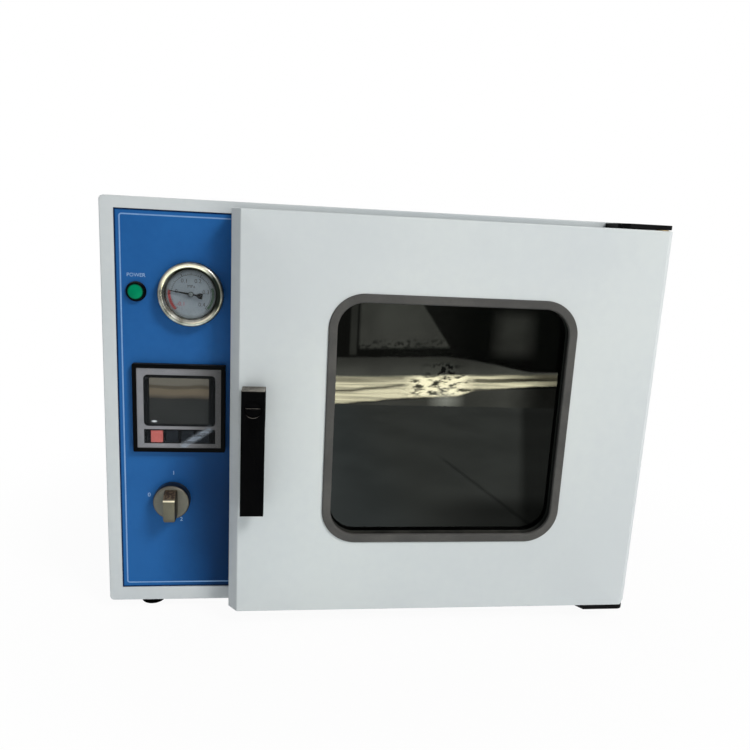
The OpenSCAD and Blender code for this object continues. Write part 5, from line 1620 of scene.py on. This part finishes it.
@dataclass
class Gauge:
    """Vacuum gauge: rolled bezel, printed dial, needle hub and glass.

    Attributes:
        opening: Radius of the bezel's clear opening.
        zero: Direction of the first number in degrees.
        step: Turn between two numbers in degrees, clockwise.
        numbers: The numbers on the dial.
        arc: Inner and outer radius of the scale's thin line.
        tick_start: Radius where the scale's lines start.
        ticks: Lines per step, outer radius and width of the short, the middle and the long lines.
    """

    arc: tuple[float, float] = (21.3, 21.7)
    tick_start: float = 21.4
    ticks: tuple[Point, ...] = ((10, 23.2, 0.35), (2, 24.2, 0.5), (1, 25.0, 0.8))
    opening: float = 27.5
    zero: float = 225.0
    step: float = 54.0
    numbers: tuple[str, ...] = ("-0.1", "0", "0.1", "0.2", "0.3", "0.4")

    def build(self) -> None:
        """Builds the bezel, the dial, its print, the hub cap and the glass."""
        bezel, dial = NodeBox.of("gauge_bezel"), NodeBox.of("gauge_dial")
        r = bezel.size[0] / 2
        depth = bezel.size[1]
        axis = (bezel.centre[0], bezel.high[1], bezel.centre[2])
        o = self.opening
        roll = arc_points(r - 3.1, depth - 3.1, 3.0, 0, 90, 9)
        roll += arc_points(r - 4.2, depth - 1.6, 1.5, 90, 150, 5)
        profile = [(r - 6.0, 0.0), (r - 1.0, 0.0), (r - 0.3, 0.5), (r, 1.3), (r - 0.05, depth - 3.4)] + roll
        profile += [(o + 1.2, depth - 2.4), (o + 0.3, depth - 3.4), (o, depth - 4.4), (o - 0.2, depth - 7.0),
                    (o + 1.2, depth - 7.2), (o + 1.4, 0.0)]
        # The bezel's plating carries painted highlights, painted shade and a painted sheen.
        ring = RingWithPaintedLight("gauge_plating_painted_light", Paint.CHROME, tuple((np.array(axis) * MM).tolist()))
        place_piece("gauge_ring", turned(profile, axis, 96), Body.CABINET, ring, ["gauge_bezel"])
        centre = (dial.centre[0], dial.centre[2])
        front = dial.low[1]
        # The dial plate carries the bezel's painted shade towards its rim.
        paint = DialWithPaintedShade("dial_plate", Paint.DIAL, (centre[0] * MM, front * MM, centre[1] * MM),
                          dial.size[0] / 2 * MM)
        plate = turned([(1.3, -0.6), (dial.size[0] / 2, -0.6), (dial.size[0] / 2, -0.1),
                        (dial.size[0] / 2 - 0.3, 0.0), (1.3, 0.0)], (centre[0], front, centre[1]), 96)
        place_piece("dial_plate", plate, Body.CABINET, paint, ["gauge_dial"])
        self.print_scale(centre, front)
        hub = NodeBox.of("gauge_needle")
        rise = min(0.7, 0.6 * (hub.low[1] - NodeBox.of("gauge_glass").high[1]))
        cap = turned([(0, rise), (1.3, 0.93 * rise), (2.0, 0.64 * rise), (2.4, 0.14 * rise), (2.5, -0.3),
                      (0, -0.3)], (centre[0], hub.low[1], centre[1]), 32)
        place_piece("needle_cap", cap, Body.NEEDLE, Paint.HUB)
        softened("gauge_needle", Paint.NEEDLE, Body.NEEDLE, bevel=0.12)
        dress("gauge_glass", Paint.DIAL_GLASS)
        dress("gauge_case", Paint.ZINC)
        dress("bourdon_tube", Paint.BRASS)

    def print_scale(self, centre: Sequence[float], front: float) -> None:
        """Prints the scale.

        Args:
            centre: X and Z of the dial's middle.
            front: Y of the plate's face.
        """
        count = len(self.numbers) - 1
        end = self.zero - count * self.step
        back, face = front + 0.02, front - 0.05
        ink = arc_band(self.zero - self.step, end, *self.arc, centre, back, face, 90)
        for lines, reach, width in self.ticks:
            turns = self.zero - self.step / lines * np.arange(lines * count + 1)
            ink = ink.joined(ray_bars(turns, self.tick_start, reach, width, centre, back, face))
        ink = ink.joined(lettering("MPa", 3.6, (centre[0], face, centre[1] + 8.6)))
        for i, text in enumerate(self.numbers[1:], 1):
            ink = ink.joined(self.number(text, self.zero - self.step * i, 16.4, centre, face))
        place_piece("dial_scale", ink, Body.CABINET, Paint.BLACK_INK)
        place_piece("dial_green_band", arc_band(18.0, -42.0, 22.6, 25.4, centre, back, face - 0.02, 30),
                    Body.CABINET, Paint.GREEN_INK)
        red = arc_band(self.zero, self.zero - self.step, 22.6, 25.6, centre, back, face - 0.02, 30)
        red = red.joined(self.number(self.numbers[0], self.zero, 16.0, centre, face))
        place_piece("dial_red_band", red, Body.CABINET, Paint.RED_INK)

    @staticmethod
    def number(text: str, turn: float, reach: float, centre: Sequence[float], face: float) -> Surface:
        """Makes one of the dial's numbers.

        Args:
            text: The number.
            turn: Its direction from the dial's middle, in degrees.
            reach: Its distance from the middle.
            centre: X and Z of the dial's middle.
            face: Y of the print's face.

        Returns:
            The surface.
        """
        a = math.radians(turn)
        return lettering(text, 4.6, (centre[0] + reach * math.cos(a), face,
                                     centre[1] + reach * math.sin(a)))


@dataclass
class Controller:
    """Temperature controller: black frame, silver face, display and four keys.

    Attributes:
        glass_w: Width of the inner display.
        glass_h: Height of the inner display.
        film_gap: Mean distance of the protective film from the level just in front of the keys.
    """

    glass_w: float = 66.8
    glass_h: float = 54.4
    film_gap: float = 0.5

    def build(self) -> None:
        """Builds the frame, the face, the display, the keys and the film."""
        softened("controller_bezel", Paint.BLACK, bevel=0.5)
        plate = NodeBox.of("controller_face")
        span = ((plate.low[0] + 30) * MM, (plate.high[0] + 6) * MM)
        # Painted shade: the silver face grows darker towards its right side, next to the door.
        face = Graded("silver_face_plate_painted_shade", Paint.FACE, (88, 87, 88), "X", span)
        softened("controller_face", face, bevel=0.25)
        softened("key_strip", Paint.BLACK, bevel=0.15)
        for node, body, finish in (("key_set", Body.SET_KEY, Paint.RED_KEY),
                                   ("key_shift", Body.SHIFT_KEY, Paint.DARK_KEY),
                                   ("key_down", Body.DOWN_KEY, Paint.DARK_KEY),
                                   ("key_up", Body.UP_KEY, Paint.DARK_KEY)):
            softened(node, finish, body, bevel=0.35)
        self.display()
        self.film()
        dress("controller_housing", Paint.BLACK)
        dress("controller_clamps", Paint.ZINC)

    def display(self) -> None:
        """Rounded dark window with the display's glass in it."""
        box = NodeBox.of("display_window")
        (w, _, h), y = box.size, box.low[1]
        centre = (box.centre[0], box.centre[2])
        window = framed([Ring(w, h, 5.0, box.high[1]), Ring(w, h, 5.0, y + 0.3),
                         Ring(w - 0.6, h - 0.6, 4.8, y), Ring(w - 1.6, h - 1.6, 4.2, y),
                         Ring(w - 2.0, h - 2.0, 4.0, y + 0.5)], centre, closed=False, caps=(True, True))
        place_piece("display_frame", window, Body.CABINET, Paint.SCREEN, ["display_window"])
        gw, gh = self.glass_w, self.glass_h
        pane = framed([Ring(gw, gh, 1.2, y + 0.6), Ring(gw, gh, 1.2, y + 0.25),
                       Ring(gw - 0.5, gh - 0.5, 1.0, y + 0.05)], (centre[0] - 0.4, centre[1] - 0.4),
                      closed=False, caps=(True, True))
        # The display glass carries a painted reflection.
        reflection_paint = DisplayWithPaintedReflection("display_painted_reflection", Paint.GLASSY, (centre[1] - 0.4 - gh / 2) * MM,
                             (centre[1] - 0.4 + gh / 2) * MM)
        place_piece("display_glass", pane, Body.CABINET, reflection_paint)

    def film(self) -> None:
        """Wavy protective film in front of the face and the keys.

        It lies film_gap (1 + 0.5 sin(4 pi u + 5 v) cos(6 v)) in front of a level 0.15 mm before the
        keys, for u, v over the face.
        """
        box = NodeBox.of("controller_face")
        u, v = np.meshgrid(np.linspace(0, 1, 60), np.linspace(0, 1, 60), indexing="ij")
        margin = 1.0
        x = box.low[0] + margin + u * (box.size[0] - 2 * margin)
        z = box.low[2] + margin + v * (box.size[2] - 2 * margin)
        wave = 1 + 0.5 * np.sin(4 * math.pi * u + 5 * v) * np.cos(6 * v)
        y = NodeBox.of("key_set").low[1] - 0.15 - self.film_gap * wave
        sheet = grid(np.stack([x, y, z], axis=2), wrap_cols=False)
        right, left, low = box.high[0] - 11.0, box.low[0] + 51.0, box.low[2] + 2.5
        fold = ((left * MM, low * MM), (right * MM, (low + 22.5) * MM))
        # Place of the film's painted highlight.
        glint_spot = ((box.low[0] + 19.5) * MM, (box.low[2] + 32.5) * MM)
        film = CreasedFilm("protective_film", "clear_glass", fold, glint_spot)
        place_piece("protective_film", sheet, Body.CABINET, film)


@dataclass
class SwitchAndLamp:
    """Rotary switch knob with a sloped wing, and the pilot lamp.

    Attributes:
        wing: Width of the wing.
        wing_up: Height of the wing's upper end over the axis.
        wing_down: Depth of its lower end under the axis.
        disc: Depth of the knob's disc.
    """

    disc: float = 14.5
    wing: float = 14.5
    wing_up: float = 16.0
    wing_down: float = 20.0

    def build(self) -> None:
        """Builds the knob, the wing, the lamp's ring and its lens."""
        self.knob()
        self.lamp()
        dress("switch_shaft", Paint.ZINC)
        dress("switch_body", Paint.BLACK)

    def knob(self) -> None:
        """Round disc with a soft edge, and a wing lofted through rounded sections along Z.

        A section at height z is a rounded block whose front follows the wing's side view and whose
        width narrows by a tenth towards the front.
        """
        box = NodeBox.of("switch_knob")
        r, back = box.size[0] / 2, box.high[1]
        axis_z = box.low[2] + r
        x, face = box.centre[0], back - self.disc
        disc = [(0, 0), (r - 0.6, 0), (r, 0.6), (r, self.disc - 2.9), (r - 0.25, self.disc - 1.7),
                (r - 0.9, self.disc - 0.7), (r - 2.0, self.disc - 0.1), (r - 3.4, self.disc), (0, self.disc)]
        body = turned(disc, (x, back, axis_z), 72)
        front = box.low[1]
        z = np.array([self.wing_up, self.wing_up - 0.4, self.wing_up - 1.4, 13.0, 11.0, 9.6, 8.6, 7.8, 6.8,
                      4.0, 0.0, -8.0, -14.0, -16.8, -18.4, -19.4, -19.9, -self.wing_down])
        rise = np.array([0.4, 2.6, 5.0, 8.2, 11.6, 13.8, 15.0, 15.7, 16.0, 16.0, 16.0, 15.9, 15.4, 14.6, 13.2,
                         11.0, 7.0, 2.0]) * (face - front) / 16.0
        t = np.radians(np.linspace(0, 90, 5))
        side = np.stack([np.concatenate([[1.06, 1.02], 0.86 + 0.1 * np.cos(t)]),
                         np.concatenate([[0.0, 0.4], 0.88 + 0.12 * np.sin(t)])], axis=1)
        half = np.concatenate([side, side[::-1] * [-1, 1]])
        slim = np.interp(z, [-20.0, -19.4, -18.4, -16.8, -13.0, 13.0, 16.0],
                         [0.46, 0.66, 0.82, 0.94, 1.0, 1.0, 0.9])
        points = np.empty((len(z), len(half), 3))
        points[..., 0] = x + half[None, :, 0] * self.wing / 2 * slim[:, None]
        points[..., 1] = face + 0.3 - half[None, :, 1] * (rise[:, None] + 0.3)
        points[..., 2] = axis_z + z[:, None]
        wing = grid(points, wrap_cols=True, cap_first=True, cap_last=True)
        rim = DarkRim("khaki_plated_knob_rimmed", Paint.KNOB, (14, 16, 20), (x * MM, face * MM, axis_z * MM),
                      ((r - 1.1) * MM, (r - 0.4) * MM))
        place_piece("knob_disc", body, Body.SWITCH, rim, ["switch_knob"], crease=50)
        # The wing carries painted light: a highlight, a shaded top and a shaded flank.
        paint = WingWithPaintedLight("knob_wing_painted_light", Paint.WING, (x * MM, axis_z * MM), self.wing / 2 * MM,
                          9.2 * MM)
        place_piece("knob_wing", wing, Body.SWITCH, paint, crease=50)

    def lamp(self) -> None:
        """Black ring with a rolled rim, and a ribbed dome lens."""
        box = NodeBox.of("lamp_body")
        softened("lamp_body", Paint.BLACK, bevel=0.4)
        lens = NodeBox.of("lamp_lens")
        r, depth = lens.size[0] / 2, lens.size[1]
        dome = arc_points(0, 0, 1.0, 4, 90, 12)
        profile = [(r, 0.0), (r, depth - 2.2)] + [(r * a, depth - 2.2 + 2.2 * b) for a, b in dome]
        cap = turned(profile, (box.centre[0], lens.high[1], lens.centre[2]), 96, ripple=0.006, lobes=24)
        middle = tuple((a * MM for a in (box.centre[0], lens.centre[1], lens.centre[2])))
        glow = DarkRim("green_lens_rimmed", Paint.LENS, (2, 34, 30), middle, (0.78 * r * MM, 0.97 * r * MM))
        place_piece("green_lens", cap, Body.CABINET, glow, ["lamp_lens"], crease=60)


@dataclass
class Door:
    """Bevelled door tray, rubber window moulding, panes, handle and latch.

    Attributes:
        bevel_w: Width of the bevel on the upright edges.
        bevel_d: Depth of the bevel.
        sheet: Thickness of the sheet.
        fold: Radius of the folded edges.
        window_r: Corner radius of the window.
        lap: How far the moulding's groove reaches in from the window's edge.
        moulding_w: Width of the moulding.
    """

    bevel_w: float = 10.5
    bevel_d: float = 13.0
    sheet: float = 1.5
    fold: float = 1.6
    window_r: float = 30.0
    lap: float = 6.0
    moulding_w: float = 10.0

    def build(self) -> None:
        """Builds the tray and the moulding, and dresses the door's other pieces."""
        self.tray()
        self.moulding()
        for node, finish in {"outer_glass": Paint.PANE, "inner_glass": Paint.INNER_PANE,
                             "glass_spacer": Paint.ALUMINIUM, "door_back_frame": Paint.STEEL,
                             "hinge_bearings": Paint.BRASS}.items():
            dress(node, finish)
        softened("handle_lever", Paint.HANDLE, Body.HANDLE, bevel=1.0)
        softened("handle_screw", Paint.HANDLE, Body.HANDLE, bevel=0.25)
        softened("latch_shaft", Paint.ZINC, Body.HANDLE, bevel=0.5)

    def tray(self) -> None:
        """Loft from the window's folded edge over the front, the bevels and the sides to the rear.

        At a level y between the front and the bevel's rear the door is narrower by the bevel's
        width times the share of the bevel that is still to come.
        """
        box, hole = NodeBox.of("door_skin"), NodeBox.of("window_moulding")
        w, _, h = box.size
        centre = (box.centre[0], box.centre[2])
        front, back = box.low[1], box.high[1]
        aside = (hole.centre[0] - centre[0], hole.centre[2] - centre[1])
        ow, oh = (hole.size[i] - 2 * (self.moulding_w - self.lap) for i in (0, 2))
        orad, s = self.window_r + self.lap, self.sheet
        rings = [Ring(ow, oh, orad, front + s, aside), Ring(ow, oh, orad, front + 0.3, aside),
                 Ring(ow + 0.5, oh + 0.5, orad + 0.2, front, aside)]
        slope, f = self.bevel_w / self.bevel_d, self.fold
        for push, rise in arc_points(0, 0, f, 90, 0, 7):
            narrow = 2 * (self.bevel_w - slope * (f - rise)) + 2 * 0.45 * (f - push)
            rings.append(Ring(w - narrow, h - 2 * (f - push), 0.8 + 0.6 * push / f, front + f - rise))
        edge = front + self.bevel_d
        rings += [Ring(w - 2 * slope * 2.2, h, 1.4, edge - 2.2),
                  Ring(w - 2 * slope * 1.0, h, 1.4, edge - 1.0), Ring(w - 0.5, h, 1.4, edge - 0.2),
                  Ring(w - 0.12, h, 1.4, edge + 0.6), Ring(w, h, 1.4, edge + 1.6),
                  Ring(w, h, 1.4, back - 0.8), Ring(w - 0.5, h - 0.5, 1.4, back - 0.1),
                  Ring(w - 2.6, h - 2.6, 0.8, back), Ring(w - 2 * s, h - 2 * s, 0.8, back),
                  Ring(w - 2 * s, h - 2 * s, 0.8, edge + 1.0),
                  Ring(w - 2 * self.bevel_w - 2 * s, h - 2 * s, 0.8, front + s)]
        place_piece("door_tray", framed(rings, centre, arc=12), Body.DOOR, Paint.DOOR, ["door_skin"],
                    crease=30)

    def moulding(self) -> None:
        """Rubber profile round the window: a low crown, a groove for the sheet and a deep neck."""
        box = NodeBox.of("window_moulding")
        front = NodeBox.of("door_skin").low[1]
        proud, neck, width = front - box.low[1], box.high[1] - front, self.moulding_w
        crown = [(width, 0.0)] + arc_points(width - 1.5, proud - 1.5, 1.5, 0, 78, 6)
        crown += [(width * 0.66, proud), (width * 0.34, proud)]
        crown += arc_points(1.9, proud - 1.9, 1.9, 94, 180, 7) + [(0.0, -1.5), (0.5, -3.0), (0.5, 0.6 - neck)]
        crown += [(0.0, -neck), (width, -neck), (width, -self.sheet), (self.lap, -self.sheet),
                  (self.lap, 0.0)]
        w, h = box.size[0] - 2 * width, box.size[2] - 2 * width
        rubber = carried(crown, w, h, self.window_r, (box.centre[0], box.centre[2]), front, 18)
        # The rubber carries painted shade in its neck.
        finish = RubberWithPaintedShade("moulding_rubber", Paint.RUBBER, (front + 1.2) * MM)
        place_piece("window_rubber", rubber, Body.DOOR, finish, ["window_moulding"], crease=50)


@dataclass
class RearServices:
    """Vacuum line, valves, hose nozzle, power inlet and what the control bay holds."""

    def build(self) -> None:
        """Dresses the rear and the bay."""
        for node, finish in {"vacuum_manifold": Paint.BRASS, "vacuum_pipes": Paint.COPPER,
                             "inlet_pins": Paint.NICKEL, "terminal_block": Paint.TERMINAL,
                             "heater_relay": Paint.BLACK}.items():
            dress(node, finish)
        softened("vacuum_valve_body", Paint.BRASS, bevel=0.4)
        softened("vent_valve_body", Paint.BRASS, bevel=0.4)
        softened("hose_nozzle", Paint.NICKEL, bevel=0.15)
        softened("power_inlet", Paint.BLACK, bevel=0.6)
        dress("vacuum_valve_lever", Paint.LEVER_RED)
        dress("vent_valve_lever", Paint.LEVER_BLUE)


# ---------- Camera, light and floor ----------


@dataclass
class Studio:
    """Camera, lamps, floor, white surroundings and a dim room that only mirrors show.

    Attributes:
        eye: Place of the camera in millimetres of the part frame.
        turn: Its turn in degrees about X, Y and Z.
        lens: Focal length on the 36 mm sensor.
    """

    eye: Point = (-119.7, -993.2, 476.0)
    turn: Point = (78.0043, -2.9308, -6.8147)
    lens: float = 33.53

    def camera(self) -> None:
        """Makes the camera and hands it to the scene."""
        data = bpy.data.cameras.new("view")
        data.lens, data.sensor_width = self.lens, 36.0
        data.clip_start, data.clip_end = 0.02, 60.0
        thing = bpy.data.objects.new("view", data)
        thing.location = Vector(self.eye) * MM
        thing.rotation_euler = Euler([math.radians(a) for a in self.turn], "XYZ")
        bpy.context.scene.collection.objects.link(thing)
        bpy.context.scene.camera = thing

    def lamp(self, name: str, place: Point, aim: Point, size: float, power: float, colour: Colour) -> None:
        """Adds a square soft lamp.

        Args:
            name: Name of the lamp.
            place: Where it stands, in metres.
            aim: What it points at, in metres.
            size: Side of its panel in metres.
            power: Its power in watts.
            colour: Its colour, 0 to 255 as seen.
        """
        data = bpy.data.lights.new(name, "AREA")
        data.size, data.energy, data.color = size, power, linear(colour)[:3]
        thing = bpy.data.objects.new(name, data)
        thing.location = place
        thing.rotation_euler = (Vector(aim) - Vector(place)).to_track_quat("-Z", "Y").to_euler()
        thing.visible_camera = False
        bpy.context.scene.collection.objects.link(thing)

    def surroundings(self, ambient: float) -> None:
        """White world: strength 1 where it is seen or mirrored, and softer as a light.

        Args:
            ambient: Strength with which it lights the object.
        """
        world = bpy.data.worlds.new("white_room")
        bpy.context.scene.world = world
        world.use_nodes = True
        sheet = NodeSheet(world.node_tree)
        strength = sheet.maths("MULTIPLY_ADD", sheet.seen(), 1.0 - ambient, ambient)
        back = world.node_tree.nodes["Background"]
        back.inputs["Color"].default_value = (1.0, 1.0, 1.0, 1.0)
        sheet.feed(back.inputs["Strength"], strength)

    @staticmethod
    def flat(name: str, corners: Sequence[Point], material: bpy.types.Material) -> bpy.types.Object:
        """Makes a flat sheet that is no part of the object.

        Args:
            name: Its name.
            corners: Its four corners in metres, in order round it.
            material: Its material.

        Returns:
            The sheet.
        """
        mesh = bpy.data.meshes.new(name)
        mesh.from_pydata(corners, [], [(0, 1, 2, 3)])
        mesh.materials.append(material)
        thing = bpy.data.objects.new(name, mesh)
        bpy.context.scene.collection.objects.link(thing)
        return thing

    def floor(self) -> None:
        """Wide pale floor that keeps the object's shadow and is otherwise white."""
        material, sheet, shader, place = MaterialShelf.blank("pale_floor")
        tone = sheet.blend(sheet.noise(place, 3.0, 4.0), (0.93, 0.93, 0.93, 1), (0.9, 0.9, 0.9, 1))
        sheet.feed(shader.inputs["Base Color"], tone)
        shader.inputs["Roughness"].default_value = 0.9
        shader.inputs["Specular IOR Level"].default_value = 0.0
        glow = sheet.glow((1, 1, 1, 1), 1.0)
        away = sheet.vector("LENGTH", place)
        white = sheet.times(sheet.seen(), sheet.ramp(away, 0.3, 0.75, 0.95, 1.0))
        mixed = sheet.put("MixShader", {0: white, 1: shader.outputs[0], 2: glow})
        sheet.show(mixed.outputs[0])
        side = 30.0
        corners = [(-side, -side, 0), (side, -side, 0), (side, side, 0), (-side, side, 0)]
        thing = self.flat("floor", corners, material)

    def room(self) -> None:
        """Two sheets that only mirrors show: a dim room, and the bench top in front of the oven."""
        x0, x1, y0, y1, z1 = (a * MM for a in (-900.0, 1200.0, -1288.0, -320.0, 345.0))
        up = 0.5 * MM
        wall = [(x0, y0, up), (x1, y0, up), (x1, y0, z1), (x0, y0, z1)]
        bench = [(x0, y0, up), (x1, y0, up), (x1, y1, up), (x0, y1, up)]
        for name, corners, glow in (("room_mirrored", wall, RoomGlow("room_glow")),
                                    ("bench_mirrored", bench, BenchGlow("bench_glow"))):
            thing = self.flat(name, corners, glow.make(SHELF))
            thing.visible_camera = thing.visible_diffuse = thing.visible_shadow = False
            thing.visible_transmission = False

    def build(self) -> None:
        """Sets up everything round the object."""
        bpy.context.scene.view_settings.view_transform = "Standard"
        self.surroundings(0.27)
        self.floor()
        self.lamp("key", (4.0, -5.0, 5.6), (0.0, -0.2, 0.1), 2.2, 385.0, (255, 252, 246))
        self.lamp("bounce", (0.7, -1.8, 0.08), (0.1, -0.2, 0.0), 1.0, 8.5, (255, 253, 248))
        self.lamp("rear", (-1.3, 2.1, 1.2), (0.0, 0.1, 0.25), 1.2, 16.0, (250, 252, 255))
        self.room()


def main() -> None:
    """Builds the studio and the oven's sub-assemblies in order."""
    logging.basicConfig(level=logging.INFO, format="%(message)s")
    studio = Studio()
    studio.camera()
    studio.build()
    for part in (Cabinet(), Chamber(), Gauge(), Controller(), SwitchAndLamp(), Door(), RearServices()):
        log.info("building %s", type(part).__name__)
        part.build()


if __name__ == "__main__":
    main()
